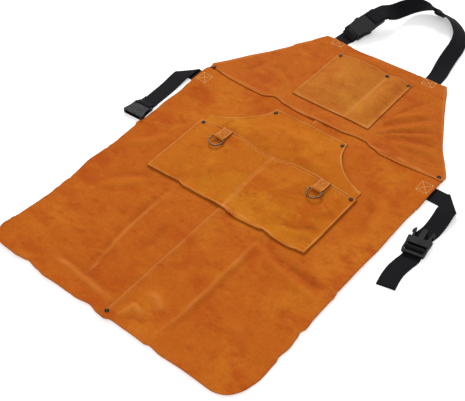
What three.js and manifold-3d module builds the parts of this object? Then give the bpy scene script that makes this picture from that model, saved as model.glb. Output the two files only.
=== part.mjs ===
// Split-leather welding apron lying flat, front up, with a buckled neck strap and waist straps.
// Millimetres. +X to the viewer's right, +Y up the apron towards the neck, +Z out of its front.
import * as THREE from "three";
import { mergeVertices } from "three/addons/utils/BufferGeometryUtils.js";
import Module from "manifold-3d";

const wasm = await Module();
wasm.setup();

// ---- sizes: the apron's leather ----
const APRON_WIDTH = 610;
const APRON_LENGTH = 914;
const MID_Y = APRON_LENGTH / 2;
const HALF = APRON_WIDTH / 2;
const CORNER_RADIUS = 45;
const LEATHER = 1.6;
const POCKET_LEATHER = 1.4;
const GAP = 0.35;
const SEAM_LAP = 7;
const WAIST_SEAM_Y = 655;
const SKIRT_TOP_Y = 668;
const BIB_LOW_HALF = 303;
const BIB_TOP_HALF = 155;
const BIB_SIDE_HOLLOW = 8;

// ---- sizes: pockets ----
const CHEST_LOW_Y = 695;
const CHEST_TOP_Y = 871;
const CHEST_LOW_HALF = 100;
const CHEST_TOP_HALF = 97;
const CHEST_DIVIDER = 0.685;
const CHEST_BULGE = 8;
const PEN_BULGE = 6.6;
const HAND_TOP_Y = 633;
const HAND_HALF = 197;
const HAND_ARC_X = 210;
const HAND_ARC_Y = 651;
const HAND_ARC_RADIUS = 118;
const LAP_LOW_Y = 336;
const LAP_TOP_Y = 512;
const LAP_HALF = 202;
const LAP_BULGE = 6.6;

// ---- sizes: rivets, loops and rings ----
const RIVET_CAP_RADIUS = 4.6;
const RIVET_FOOT_RADIUS = 4.1;
const RIVET_SHANK_RADIUS = 1.9;
const FOOT_HOLE_RADIUS = 4.6;
const SHANK_HOLE_RADIUS = 2.3;
const RING_WIRE = 1.6;
const RING_INNER_WIDTH = 27;
const RING_DROP = 24;
const LOOP_WIDTH = 23.5;
const LOOP_LEATHER = 1.4;
const LOOP_EYE_RADIUS = 2.0;
const LOOP_LENGTH = 34;
const RING_BAR_Y = 476;
const LEFT_LOOP_X = -124;
const RIGHT_LOOP_X = 128;

// ---- sizes: webbing and buckles ----
const WEB_WIDTH = 38;
const WEB_THICK = 1.8;
const WEB_FLOOR_Z = 0.95;
const STRAP_Y = 620;
const NECK_STRAP_X = 122;
const SOCKET_LENGTH = 40;
const SOCKET_THICK = 11;
const SOCKET_BAR_RADIUS = 2.4;
const PLUG_OUTER = 43;
const PLUG_THICK = 6.4;
const BAR_THICK = 4.6;
const SLIDER_LENGTH = 28;
const SLIDER_WIDTH = 48;
const SLIDER_THICK = 3.2;

// ---- colours ----
const LEATHER_LOOK = { color: 0xb9601f, roughness: 0.95, metalness: 0 };
const BIB_LOOK = { color: 0xbd6a22, roughness: 0.95, metalness: 0 };
const CHEST_LOOK = { color: 0xc07a2c, roughness: 0.95, metalness: 0 };
const LAP_LOOK = { color: 0xcb7c2b, roughness: 0.95, metalness: 0 };
const WEB_LOOK = { color: 0x1c1c20, roughness: 0.85, metalness: 0 };
const PLASTIC_LOOK = { color: 0x202024, roughness: 0.45, metalness: 0 };
const RIVET_LOOK = { color: 0x5a4a3c, roughness: 0.35, metalness: 1 };
const RING_LOOK = { color: 0x75695c, roughness: 0.3, metalness: 1 };

const apron = new THREE.Group();
apron.name = "welding_apron";

// ---- small helpers ----
const vec = (x, y, z) => new THREE.Vector3(x, y, z);
const mix = (a, b, t) => a + (b - a) * t;

function smooth(from, to, value) {
  const t = Math.min(1, Math.max(0, (value - from) / (to - from)));
  return t * t * (3 - 2 * t);
}

function steps(from, to, count) {
  const list = [];
  for (let i = 0; i <= count; i += 1) list.push(mix(from, to, i / count));
  return list;
}

function toSolid(geometry) {
  const bare = new THREE.BufferGeometry();
  bare.setAttribute("position", geometry.getAttribute("position").clone());
  if (geometry.index) bare.setIndex(geometry.index.clone());
  const merged = mergeVertices(bare, 1e-4);
  const mesh = new wasm.Mesh({
    numProp: 3,
    vertProperties: new Float32Array(merged.getAttribute("position").array),
    triVerts: new Uint32Array(merged.index.array),
  });
  return new wasm.Manifold(mesh);
}

function toGeometry(solid) {
  const mesh = solid.getMesh();
  const geometry = new THREE.BufferGeometry();
  geometry.setAttribute("position", new THREE.BufferAttribute(mesh.vertProperties, 3));
  geometry.setIndex(new THREE.BufferAttribute(mesh.triVerts, 1));
  return geometry;
}

function place(name, geometry, look) {
  const shifted = geometry.clone().translate(0, -MID_Y, 0);
  const flat = shifted.index ? shifted.toNonIndexed() : shifted;
  flat.deleteAttribute("uv");
  flat.computeVertexNormals();
  const mesh = new THREE.Mesh(flat, new THREE.MeshStandardMaterial(look));
  mesh.name = name;
  apron.add(mesh);
}

// ---- where the leather lies ----
// How far the leather is lifted by a strap end sewn beneath it.
function waistLift(x, y) {
  const outX = Math.max(0, 262 - Math.abs(x));
  const outY = y > STRAP_Y ? Math.max(0, y - 643) * 2 : Math.max(0, 597 - y);
  return (WEB_THICK + GAP + 0.1) * (1 - smooth(0, 26, Math.hypot(outX, outY)));
}

function neckLift(x, y) {
  const outX = Math.max(0, NECK_STRAP_X - 31 - Math.abs(x));
  const outY = Math.max(0, 878 - y);
  return (WEB_THICK + GAP + 0.1) * (1 - smooth(0, 7, Math.hypot(outX, outY)));
}

function seamHump(x, reach) {
  return (LEATHER + GAP) * (1 - smooth(reach, reach + 16, Math.abs(x)));
}

function skirtTop(x, y) {
  return waistLift(x, y) + seamHump(x, 14) + LEATHER;
}

function bibBottom(x, y) {
  const lap = 1 - smooth(672, 692, y);
  return lap * (skirtTop(x, y) + GAP) + neckLift(x, y);
}

function handBulge(x, y) {
  const low = 4.2 * smooth(LAP_LOW_Y + 8, 470, y);
  const high = 4.4 * smooth(500, 545, y);
  const close = 1 - smooth(572, 614, y);
  const across = 1 - Math.min(1, Math.abs(x) / 195) ** 4;
  return (low + high) * close * across;
}

function handBottom(x, y) {
  return skirtTop(x, y) + GAP + handBulge(x, y);
}

function handTop(x, y) {
  return handBottom(x, y) + POCKET_LEATHER;
}

// A pocket bulges between two stitched lines, given as shares of its width.
function bulge(share, from, to, height) {
  const t = (2 * share - from - to) / (to - from);
  return Math.abs(t) < 1 ? height * (1 - t * t) : 0;
}

function lapBulge(share, y) {
  const rise = smooth(LAP_LOW_Y + 6, 405, y);
  const left = bulge(share, 0.045, 0.492, LAP_BULGE);
  const right = bulge(share, 0.508, 0.955, LAP_BULGE);
  return rise * (left + right);
}

function lapBottom(x, y) {
  const share = (x + LAP_HALF) / (2 * LAP_HALF);
  return handTop(x, y) + GAP + 0.1 + lapBulge(share, y);
}

function chestBulge(share, y) {
  const rise = smooth(CHEST_LOW_Y + 6, 752, y);
  const main = bulge(share, 0.055, CHEST_DIVIDER - 0.03, CHEST_BULGE);
  const pen = bulge(share, CHEST_DIVIDER + 0.03, 0.945, PEN_BULGE);
  return rise * (main + pen);
}

// ---- leather panels ----
// A panel of even thickness on a grid of rows (y) and columns (shares of the width).
function panel(rows, shares, left, right, bottom, thickness) {
  const box = new THREE.BoxGeometry(1, 1, 1, shares.length - 1, rows.length - 1, 1);
  const at = box.getAttribute("position");
  for (let i = 0; i < at.count; i += 1) {
    const share = shares[Math.round((at.getX(i) + 0.5) * (shares.length - 1))];
    const y = rows[Math.round((at.getY(i) + 0.5) * (rows.length - 1))];
    const x = mix(left(y), right(y), share);
    const z = bottom(x, y, share) + (at.getZ(i) + 0.5) * thickness;
    at.setXYZ(i, x, y, z);
  }
  return box;
}

function skirtHalf(y) {
  if (y >= CORNER_RADIUS) return HALF;
  const up = CORNER_RADIUS - y;
  return HALF - CORNER_RADIUS + Math.sqrt(CORNER_RADIUS ** 2 - up ** 2);
}

function bibHalf(y) {
  const t = Math.max(0, (y - 672) / (APRON_LENGTH - 672));
  return mix(BIB_LOW_HALF, BIB_TOP_HALF, t) - BIB_SIDE_HOLLOW * 4 * t * (1 - t);
}

function handHalf(y) {
  const up = HAND_ARC_Y - y;
  if (up >= HAND_ARC_RADIUS) return HAND_HALF;
  return Math.min(HAND_HALF, HAND_ARC_X - Math.sqrt(HAND_ARC_RADIUS ** 2 - up ** 2));
}

function hole(x, y, radius) {
  const cutter = new THREE.CylinderGeometry(radius, radius, 60, 10);
  cutter.rotateX(Math.PI / 2).translate(x, y, 10);
  return toSolid(cutter);
}

function punched(geometry, places, radius) {
  let solid = toSolid(geometry);
  for (const [x, y] of places) solid = solid.subtract(hole(x, y, radius));
  return toGeometry(solid);
}

const HEM_RIVETS = [[0, 10]];
const WAIST_RIVETS = [[-294, 662], [294, 662]];
const CHEST_RIVETS = [[-91, 864], [35, 864], [91, 864]];
const HAND_RIVETS = [[-87, 622], [87, 622]];
const LAP_RIVETS = [[-191, 504], [191, 504]];
const onLeft = (places) => places.filter(([x]) => x <= 0);
const onRight = (places) => places.filter(([x]) => x > 0);

const SKIRT_ROWS = [
  0, 3, 10, 20, 32, 45, ...steps(110, 560, 6), 571, 584, 597, 620, 643, 649.5, 656, SKIRT_TOP_Y,
];

function addSkirt() {
  const feet = [...WAIST_RIVETS, ...HAND_RIVETS, ...LAP_RIVETS];
  const left = panel(
    SKIRT_ROWS, [0, 0.07, 0.138, 0.18, 0.222, 0.35, 0.6, 0.85, 0.97, 1],
    (y) => -skirtHalf(y), () => SEAM_LAP, waistLift, LEATHER,
  );
  const right = panel(
    SKIRT_ROWS, [0, 0.045, 0.063, 0.08, 0.1, 0.35, 0.6, 0.778, 0.82, 0.862, 0.93, 1],
    () => -SEAM_LAP, skirtHalf, (x, y) => waistLift(x, y) + seamHump(x, 8), LEATHER,
  );
  const leftFeet = [...onLeft(feet), ...HEM_RIVETS];
  place("skirt_left", punched(left, leftFeet, FOOT_HOLE_RADIUS), LEATHER_LOOK);
  const rightBody = toSolid(punched(right, onRight(feet), FOOT_HOLE_RADIUS));
  const [hemX, hemY] = HEM_RIVETS[0];
  const rightCut = rightBody.subtract(hole(hemX, hemY, SHANK_HOLE_RADIUS));
  place("skirt_right", toGeometry(rightCut), LEATHER_LOOK);
}

function addBib() {
  const lower = [WAIST_SEAM_Y, 662, 672, 677, 682, 687, 692, 735];
  const rows = [...lower, 780, 825, 852, 871, 878, 902, APRON_LENGTH];
  const side = [0, 0.1, 0.15, 0.21, 0.235, 0.26, 0.34, 0.42, 0.45, 0.475];
  const shares = [...side, ...side.map((f) => 1 - f).reverse()];
  const body = panel(rows, shares, (y) => -bibHalf(y), bibHalf, bibBottom, LEATHER);
  const seated = toSolid(punched(body, CHEST_RIVETS, FOOT_HOLE_RADIUS));
  place("bib", punched(toGeometry(seated), WAIST_RIVETS, SHANK_HOLE_RADIUS), BIB_LOOK);
}

function addChestPocket() {
  const rows = [CHEST_LOW_Y, 701, 712, 724, 738, 752, 790, 830, CHEST_TOP_Y];
  const main = [0, 0.055, 0.13, 0.23, 0.355, 0.48, 0.58, 0.655];
  const pen = [0.715, 0.76, 0.83, 0.9, 0.945, 1];
  const half = (y) => mix(CHEST_LOW_HALF, CHEST_TOP_HALF, (y - CHEST_LOW_Y) / 176);
  const bottom = (x, y, share) => LEATHER + GAP + chestBulge(share, y);
  const body = panel(rows, [...main, ...pen], (y) => -half(y), half, bottom, POCKET_LEATHER);
  place("chest_pocket", punched(body, CHEST_RIVETS, SHANK_HOLE_RADIUS), CHEST_LOOK);
}

function addHandPocket() {
  const rows = [
    LAP_LOW_Y + 2, 360, 400, 440, 480, 505, 523, 533, 535, 538, 543, 550, 559, 570, 583, 598, 614,
    HAND_TOP_Y,
  ];
  const side = [0, 0.05, 0.12, 0.2, 0.3, 0.4, 0.455];
  const shares = [...side, ...side.map((f) => 1 - f).reverse()];
  const body = panel(rows, shares, (y) => -handHalf(y), handHalf, handBottom, POCKET_LEATHER);
  place("hand_pocket", punched(body, [...HAND_RIVETS, ...LAP_RIVETS], SHANK_HOLE_RADIUS), LAP_LOOK);
}

function addLapPocket() {
  const rows = [LAP_LOW_Y, 342, 355, 370, 388, 405, 440, 476, LAP_TOP_Y];
  const side = [0, 0.045, 0.085, 0.14, 0.2, 0.27, 0.34, 0.4, 0.45, 0.492];
  const shares = [...side, ...side.map((f) => 1 - f).reverse()];
  const body = panel(rows, shares, () => -LAP_HALF, () => LAP_HALF, lapBottom, POCKET_LEATHER);
  place("lap_pocket", punched(body, LAP_RIVETS, SHANK_HOLE_RADIUS), LAP_LOOK);
}

// ---- rivets ----
function rivet(name, [x, y], footZ, topZ) {
  const profile = [
    [0, footZ], [RIVET_FOOT_RADIUS, footZ], [RIVET_FOOT_RADIUS, footZ + 1], [RIVET_SHANK_RADIUS, footZ + 1],
    [RIVET_SHANK_RADIUS, topZ], [RIVET_CAP_RADIUS, topZ], [RIVET_CAP_RADIUS - 0.3, topZ + 0.9],
    [RIVET_CAP_RADIUS - 2, topZ + 1.6], [0, topZ + 1.8],
  ];
  const points = profile.map(([r, z]) => new THREE.Vector2(r, z));
  const body = new THREE.LatheGeometry(points, 12);
  body.rotateX(Math.PI / 2).translate(x, y, 0);
  place(name, toGeometry(toSolid(body)), RIVET_LOOK);
}

function highest(surface, x, y, reach) {
  let top = -Infinity;
  for (const dx of [-reach, 0, reach]) {
    for (const dy of [-reach, 0, reach]) top = Math.max(top, surface(x + dx, y + dy));
  }
  return top;
}

function addRivets() {
  const reach = RIVET_CAP_RADIUS;
  rivet("rivet_hem", HEM_RIVETS[0], 0.3, 2 * LEATHER + GAP + GAP);
  const bibTop = (x, y) => bibBottom(x, y) + LEATHER;
  const lapTop = (x, y) => lapBottom(x, y) + POCKET_LEATHER;
  const pairs = [
    ["rivet_waist", WAIST_RIVETS, bibTop],
    ["rivet_hand", HAND_RIVETS, handTop],
    ["rivet_lap", LAP_RIVETS, lapTop],
  ];
  for (const [name, places, surface] of pairs) {
    const [leftAt, rightAt] = places;
    rivet(`${name}_left`, leftAt, 0.3, highest(surface, ...leftAt, reach) + GAP);
    rivet(`${name}_right`, rightAt, 0.3, highest(surface, ...rightAt, reach) + GAP);
  }
  const chestTop = LEATHER + GAP + POCKET_LEATHER + 1.1;
  rivet("rivet_chest_left", CHEST_RIVETS[0], 0.3, chestTop);
  rivet("rivet_chest_middle", CHEST_RIVETS[1], 0.3, chestTop);
  rivet("rivet_chest_right", CHEST_RIVETS[2], 0.3, chestTop);
}

// ---- tool loops and D-rings ----
function loopSeat(x) {
  const lapTop = (px, py) => lapBottom(px, py) + POCKET_LEATHER;
  let top = 0;
  for (const px of steps(x - LOOP_WIDTH / 2, x + LOOP_WIDTH / 2, 8)) {
    for (const py of steps(RING_BAR_Y - 4, LAP_TOP_Y, 6)) top = Math.max(top, lapTop(px, py));
  }
  return top + GAP;
}

// The strip is folded round the ring's bar, its two layers sewn together above it.
function addToolLoop(name, x) {
  const outer = LOOP_EYE_RADIUS + LOOP_LEATHER;
  const outline = new THREE.Shape();
  outline.moveTo(LOOP_LENGTH, -outer);
  outline.lineTo(LOOP_LENGTH, -outer + 2 * LOOP_LEATHER);
  outline.lineTo(8, -outer + 2 * LOOP_LEATHER + 0.3);
  outline.lineTo(3, outer - 0.7);
  outline.absarc(0, 0, outer, Math.PI / 3, Math.PI * 1.5, false);
  outline.closePath();
  const eye = new THREE.Path();
  eye.absarc(0, 0, LOOP_EYE_RADIUS, 0, Math.PI * 2, true);
  outline.holes.push(eye);
  const cut = { depth: LOOP_WIDTH, bevelEnabled: false, curveSegments: 8 };
  const body = new THREE.ExtrudeGeometry(outline, cut);
  const turn = new THREE.Matrix4().makeBasis(vec(0, 1, 0), vec(0, 0, 1), vec(1, 0, 0));
  turn.setPosition(x - LOOP_WIDTH / 2, RING_BAR_Y, loopSeat(x) + outer);
  place(name, toGeometry(toSolid(body.applyMatrix4(turn))), LAP_LOOK);
}

// A closed run of round wire: a straight bar and a D-shaped bow.
class RingPath extends THREE.Curve {
  constructor(x, y, z) {
    super();
    this.centre = vec(x, y, z);
    this.half = RING_INNER_WIDTH / 2 + RING_WIRE;
  }

  getPoint(t, target = vec(0, 0, 0)) {
    const corner = 3;
    const deep = RING_DROP - this.half;
    const outline = new THREE.Path();
    outline.moveTo(0, 0);
    outline.lineTo(this.half - corner, 0);
    outline.absarc(this.half - corner, -corner, corner, Math.PI / 2, 0, true);
    outline.lineTo(this.half, -deep);
    outline.absarc(0, -deep, this.half, 0, -Math.PI, true);
    outline.lineTo(-this.half, -corner);
    outline.absarc(-this.half + corner, -corner, corner, Math.PI, Math.PI / 2, true);
    outline.lineTo(0, 0);
    const point = outline.getPointAt(t % 1);
    return target.set(point.x, point.y, 0).add(this.centre);
  }
}

function wireRing(path, count, sides) {
  const ring = new THREE.TorusGeometry(1, 0.5, sides, count);
  const at = ring.getAttribute("position");
  for (let i = 0; i < at.count; i += 1) {
    const round = i % (count + 1);
    const side = Math.floor(i / (count + 1));
    const t = (round % count) / count;
    const here = path.getPoint(t);
    const ahead = path.getPoint((t + 0.002) % 1).sub(path.getPoint((t + 0.998) % 1)).normalize();
    const out = vec(ahead.y, -ahead.x, 0);
    const angle = (side / sides) * Math.PI * 2;
    here.addScaledVector(out, RING_WIRE * Math.cos(angle));
    here.z += RING_WIRE * Math.sin(angle);
    at.setXYZ(i, here.x, here.y, here.z);
  }
  return ring;
}

function addRing(name, x) {
  const z = loopSeat(x) + LOOP_EYE_RADIUS + LOOP_LEATHER;
  const body = toSolid(wireRing(new RingPath(x, RING_BAR_Y, z), 36, 8));
  place(name, toGeometry(body), RING_LOOK);
}

// ---- webbing ----
// Each row of a strap says where its point (across, through) goes.
function strap(rows, acrossParts) {
  const box = new THREE.BoxGeometry(1, 1, 1, acrossParts, rows.length - 1, 1);
  const at = box.getAttribute("position");
  for (let i = 0; i < at.count; i += 1) {
    const row = rows[Math.round((at.getY(i) + 0.5) * (rows.length - 1))];
    const point = row(-at.getX(i) * WEB_WIDTH, at.getZ(i) * WEB_THICK);
    at.setXYZ(i, point.x, point.y, point.z);
  }
  return box;
}

// Rows from stations: a centre point and the direction across the webbing.
function stationRows(stations) {
  return stations.map(({ p, b }, i) => {
    const before = stations[Math.max(0, i - 1)].p;
    const after = stations[Math.min(stations.length - 1, i + 1)].p;
    const ahead = after.clone().sub(before).normalize();
    const through = ahead.clone().cross(b).normalize();
    const across = through.clone().cross(ahead);
    return (a, w) => p.clone().addScaledVector(across, a).addScaledVector(through, w);
  });
}

// Webbing folded back over itself on a diagonal: at is where the fold starts,
// ahead and across lie flat, and side is +1 or -1 for which way it turns.
function foldRow(fold, s) {
  const { at, ahead, across, side, radius } = fold;
  const along = ahead.clone().addScaledVector(across, -side).normalize();
  const outward = ahead.clone().addScaledVector(across, side).normalize();
  return (a, w) => {
    const q = (s + side * a) / Math.SQRT2;
    const p = (s - side * a) / Math.SQRT2;
    const angle = Math.min(Math.PI, Math.max(0, q / radius));
    const past = Math.max(0, q - Math.PI * radius);
    const before = Math.min(0, q);
    const out = before + (radius - w) * Math.sin(angle) - past;
    const up = radius - (radius - w) * Math.cos(angle);
    return at.clone().addScaledVector(along, p).addScaledVector(outward, out).add(vec(0, 0, up));
  };
}

// A local frame: u along a buckle, v across it, w out of its front.
function frameOf(origin, u, v) {
  const w = u.clone().cross(v).normalize();
  const across = w.clone().cross(u).normalize();
  const point = (a, b, c) =>
    origin.clone().addScaledVector(u, a).addScaledVector(across, b).addScaledVector(w, c);
  const matrix = new THREE.Matrix4().makeBasis(u, across, w).setPosition(origin);
  return { origin, u, v: across, w, point, matrix };
}

const inFrame = (frame, list) => list.map(([a, c]) => ({ p: frame.point(a, 0, c), b: frame.v }));

// ---- where the buckles sit ----
const NECK_AXIS = vec(0.3, 0.92, 0.25).normalize();
const NECK_ACROSS = vec(-0.95, 0.3, 0.12).normalize();
const NECK_SOCKET = frameOf(vec(-113, 935, 10.2), NECK_AXIS, NECK_ACROSS);
const NECK_PLUG = frameOf(NECK_SOCKET.point(83.3, 0, 0), NECK_AXIS, NECK_ACROSS);
const WAIST_SOCKET = frameOf(vec(-333, 472, 5.7), vec(0.03, -1, 0).normalize(), vec(1, 0.03, 0));
const WAIST_PLUG_TURN = 10;
const plugTurn = THREE.MathUtils.degToRad(WAIST_PLUG_TURN);
const WAIST_PLUG_END = vec(363, 457, 5.75);
const WAIST_PLUG_AHEAD = vec(Math.sin(plugTurn), -Math.cos(plugTurn), 0);
const WAIST_PLUG_ACROSS = vec(Math.cos(plugTurn), Math.sin(plugTurn), 0);
const WAIST_PLUG = frameOf(WAIST_PLUG_END, WAIST_PLUG_AHEAD, WAIST_PLUG_ACROSS);

// ---- the neck strap's line: centre points with the webbing's roll in degrees ----
const NECK_LINE = [
  { at: NECK_PLUG.point(10, 0, 0), roll: 8 },
  { at: vec(-69, 1046, 27.5), roll: 32 },
  { at: vec(-57, 1073, 25.5), roll: 58 },
  { at: vec(-40, 1098, 23.5), roll: 86 },
  { at: vec(-15, 1112, 21), roll: 122 },
  { at: vec(14, 1114, 17.5), roll: 140 },
  { at: vec(44, 1108, 16.5), roll: 144 },
  { at: vec(72, 1095, 14.5), roll: 147 },
  { at: vec(93, 1072, 12.5), roll: 150 },
  { at: vec(105, 1040, 11.5), roll: 152 },
  { at: vec(111, 998, 9.5), roll: 160 },
  { at: vec(116, 965, 6), roll: 170 },
  { at: vec(121, 938, 2.4), roll: 178 },
  { at: vec(NECK_STRAP_X, 920, WEB_FLOOR_Z + 0.15), roll: 180 },
  { at: vec(NECK_STRAP_X, 902, WEB_FLOOR_Z), roll: 180 },
  { at: vec(NECK_STRAP_X, 884, WEB_FLOOR_Z), roll: 180 },
];
const SLIDER_SHARE = 5 / (NECK_LINE.length - 1);
const neckCurve = new THREE.CatmullRomCurve3(NECK_LINE.map(({ at }) => at));

function rollAt(t) {
  const place1 = t * (NECK_LINE.length - 1);
  const first = Math.min(NECK_LINE.length - 2, Math.floor(place1));
  return mix(NECK_LINE[first].roll, NECK_LINE[first + 1].roll, place1 - first);
}

// The frame of the neck webbing at a share of its line.
function neckFrame(t) {
  const ahead = neckCurve.getTangent(t).normalize();
  const level = vec(0, 0, 1).cross(ahead).normalize();
  const roll = THREE.MathUtils.degToRad(rollAt(t));
  const across = level.clone().multiplyScalar(Math.cos(roll));
  across.addScaledVector(ahead.clone().cross(level), Math.sin(roll));
  return frameOf(neckCurve.getPoint(t), ahead, across);
}

const SLIDER = neckFrame(SLIDER_SHARE);

// ---- straps ----
function addLeftNeckStrap() {
  const sewn = (y) => ({ p: vec(-NECK_STRAP_X, y, WEB_FLOOR_Z), b: vec(-1, 0, 0) });
  const turning = { p: vec(-NECK_STRAP_X + 1.6, 921.5, 1.7), b: vec(-0.97, 0.26, 0) };
  const under = [884, 899, 914].map(sewn).concat(turning);
  const into = inFrame(NECK_SOCKET, [
    [-6, -3.4], [-1, -3.85], [2.4, -3.75], [5, -2.7], [6.15, 0],
    [5, 2.7], [2.4, 3.75], [-1, 3.5], [-5, 1.4], [-9, -0.2],
  ]);
  const body = strap(stationRows([...under, ...into]), 1);
  place("neck_strap_left", toGeometry(toSolid(body)), WEB_LOOK);
}

// Steps of the doubled webbing between the slider and the plug, fine enough that its layers stay apart.
const NECK_LAYER_STEPS = 24;

function neckLayer(from, to, count, offset) {
  return steps(from, to, count).map((t) => {
    const frame = neckFrame(t);
    const share = (SLIDER_SHARE - t) / SLIDER_SHARE;
    return { p: frame.point(0, 0, offset(share, t)), b: frame.v };
  });
}

// Stations between two others, so that a twist is shared out.
function bridge(from, to) {
  return [0.25, 0.5, 0.75].map((share) => ({
    p: from.p.clone().lerp(to.p, share),
    b: from.b.clone().lerp(to.b, share).normalize(),
  }));
}

// From the bib, through the slider, round the plug's end bar and back to the slider's middle bar.
function addRightNeckStrap() {
  const last = SLIDER_SHARE + 0.06;
  const first = SLIDER_SHARE - 0.06;
  const toSlider = neckLayer(1, last, 26, (share, t) => -3.25 * (1 - smooth(last, last + 0.1, t)));
  const running = [
    [16.5, -3.25], [13.5, -3.15], [10.6, -2.95], [8, -2.5], [7, 0.8], [6.1, 3.7], [3.6, 5.3], [0, 5.4],
  ];
  const mirrored = running.slice(0, -1).reverse().map(([a, c]) => [-a, c]);
  const through = inFrame(SLIDER, [...running, ...mirrored]);
  const front = neckLayer(first, 0.012, NECK_LAYER_STEPS, (share) => -3.25 + 7 * share ** 4);
  const round = inFrame(NECK_PLUG, [
    [1, 3.8], [-3, 3.8], [-6.4, 3.8], [-7.5, 2.8], [-7.7, 0],
    [-7.5, -2.8], [-6.4, -3.8], [-3, -3.8], [1, -3.8],
  ]);
  const back = neckLayer(0.012, first, NECK_LAYER_STEPS, (share) => -5.6 + 1.8 * share ** 2);
  const end = inFrame(SLIDER, [
    [-16.5, -5.6], [-8, -5.4], [-4.8, -4.7], [-3.5, -2.8], [-3.5, 1.3], [-2.5, 2.9], [0, 3.1], [2.5, 2.9],
    [3.5, 1.3], [3.5, -1.6], [2.5, -3.1], [0.2, -3.3],
  ]);
  const stations = [
    ...toSlider, ...bridge(toSlider.at(-1), through[0]),
    ...through, ...bridge(through.at(-1), front[0]),
    ...front, ...round, ...back, ...bridge(back.at(-1), end[0]), ...end,
  ];
  place("neck_strap_right", toGeometry(toSolid(strap(stationRows(stations), 4))), WEB_LOOK);
}

function foldRows(fold, from, to, count) {
  return steps(from, to, count).map((s) => foldRow(fold, s));
}

// Rows for the run after a fold, from its last cross-section on.
function runRows(points, across) {
  return stationRows(points.map((p) => ({ p, b: across })));
}

function addLeftWaistStrap() {
  const radius = 2.2;
  const shift = (Math.PI * radius) / Math.SQRT2;
  const at = vec(-336 + shift, STRAP_Y, WEB_FLOOR_Z);
  const fold = { at, ahead: vec(-1, 0, 0), across: vec(0, -1, 0), side: -1, radius };
  const start = [foldRow(fold, at.x + 269), foldRow(fold, at.x + 306)];
  const turn = foldRows(fold, -20, 30, 20);
  const top = WEB_FLOOR_Z + 2 * radius;
  const downY = (s) => STRAP_Y + shift - s;
  const run = [
    vec(-336, downY(30), top), vec(-336, downY(36), top), vec(-335.6, 572, 3.6), vec(-335, 552, 1.6),
    vec(-334.4, 528, 1), vec(-333.8, 500, 1), vec(-333.4, 488, 1),
  ];
  const across = vec(-1, 0, 0);
  const rows = runRows(run, across);
  const loop = inFrame(WAIST_SOCKET, [
    [-8, -4.5], [-2, -4], [2.4, -3.75], [5, -2.7], [6.15, 0], [5, 2.7], [2.4, 3.75], [-1, 3.6], [-6, 1],
    [-12, -2], [-24, -2.3],
  ]);
  const turned = loop.map(({ p, b }) => ({ p, b: b.clone().negate() }));
  const stations = [...run.slice(-1).map((p) => ({ p, b: across })), ...turned];
  const loopRows = stationRows(stations).slice(1);
  const body = strap([...start, ...turn, ...rows.slice(1), ...loopRows], 4);
  place("waist_strap_left", toGeometry(toSolid(body)), WEB_LOOK);
}

function addRightWaistStrap() {
  const radius = 5;
  const shift = (Math.PI * radius) / Math.SQRT2;
  const at = vec(357 - shift, STRAP_Y - 3, WEB_FLOOR_Z);
  const fold = { at, ahead: vec(1, 0, 0), across: vec(0, 1, 0), side: 1, radius };
  const start = [foldRow(fold, 269 - at.x), foldRow(fold, 306 - at.x)];
  const turn = foldRows(fold, -20, 42, 22);
  const top = WEB_FLOOR_Z + 2 * radius;
  const downY = (s) => STRAP_Y - 3 + shift - s;
  const thread = inFrame(WAIST_PLUG, [
    [-50, -4.75], [-38, -4.75], [-28, -4.75], [-24, -4.1], [-21.2, -1.5], [-20.2, 1.2], [-19, 3.2],
    [-16, 3.85], [-13, 3.2], [-11.8, 1.2], [-10.8, -1.5], [-8, -4.1], [-4, -4.75], [6, -4.75],
  ]);
  const run = [
    vec(357, downY(42), top), vec(357.5, downY(48), top), vec(358.5, 570, 9), vec(359.5, 552, 5.5),
    vec(359, 532, 2.2), vec(356.5, 518, 1.05),
  ];
  const tail = [vec(361, 432, 0.95), vec(359, 410, 0.95), vec(361, 388, 0.95), vec(366, 365, 0.95)];
  const asStations = (points) => points.map((p) => ({ p, b: vec(-1, 0, 0) }));
  const flipped = thread.map(({ p, b }) => ({ p, b: b.clone().negate() }));
  const rows = stationRows([...asStations(run), ...flipped, ...asStations(tail)]);
  const body = strap([...start, ...turn, ...rows.slice(1)], 4);
  place("waist_strap_right", toGeometry(toSolid(body)), WEB_LOOK);
}

// ---- buckles ----
function plate(points, thickness, frame) {
  const shape = new THREE.Shape(points.map(([x, y]) => new THREE.Vector2(x, y)));
  const body = new THREE.ExtrudeGeometry(shape, { depth: thickness, bevelEnabled: false });
  body.translate(0, 0, -thickness / 2);
  return toSolid(body.applyMatrix4(frame.matrix));
}

function bothSides(half) {
  const other = half.map(([x, y]) => [x, -y]).reverse();
  return [...half, ...other];
}

function slab(frame, from, to, halfWidth, thickness) {
  const corners = [[from, -halfWidth], [to, -halfWidth], [to, halfWidth], [from, halfWidth]];
  return plate(corners, thickness, frame);
}

function slabAt(frame, u0, u1, v0, v1, thickness) {
  return plate([[u0, v0], [u1, v0], [u1, v1], [u0, v1]], thickness, frame);
}

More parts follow.
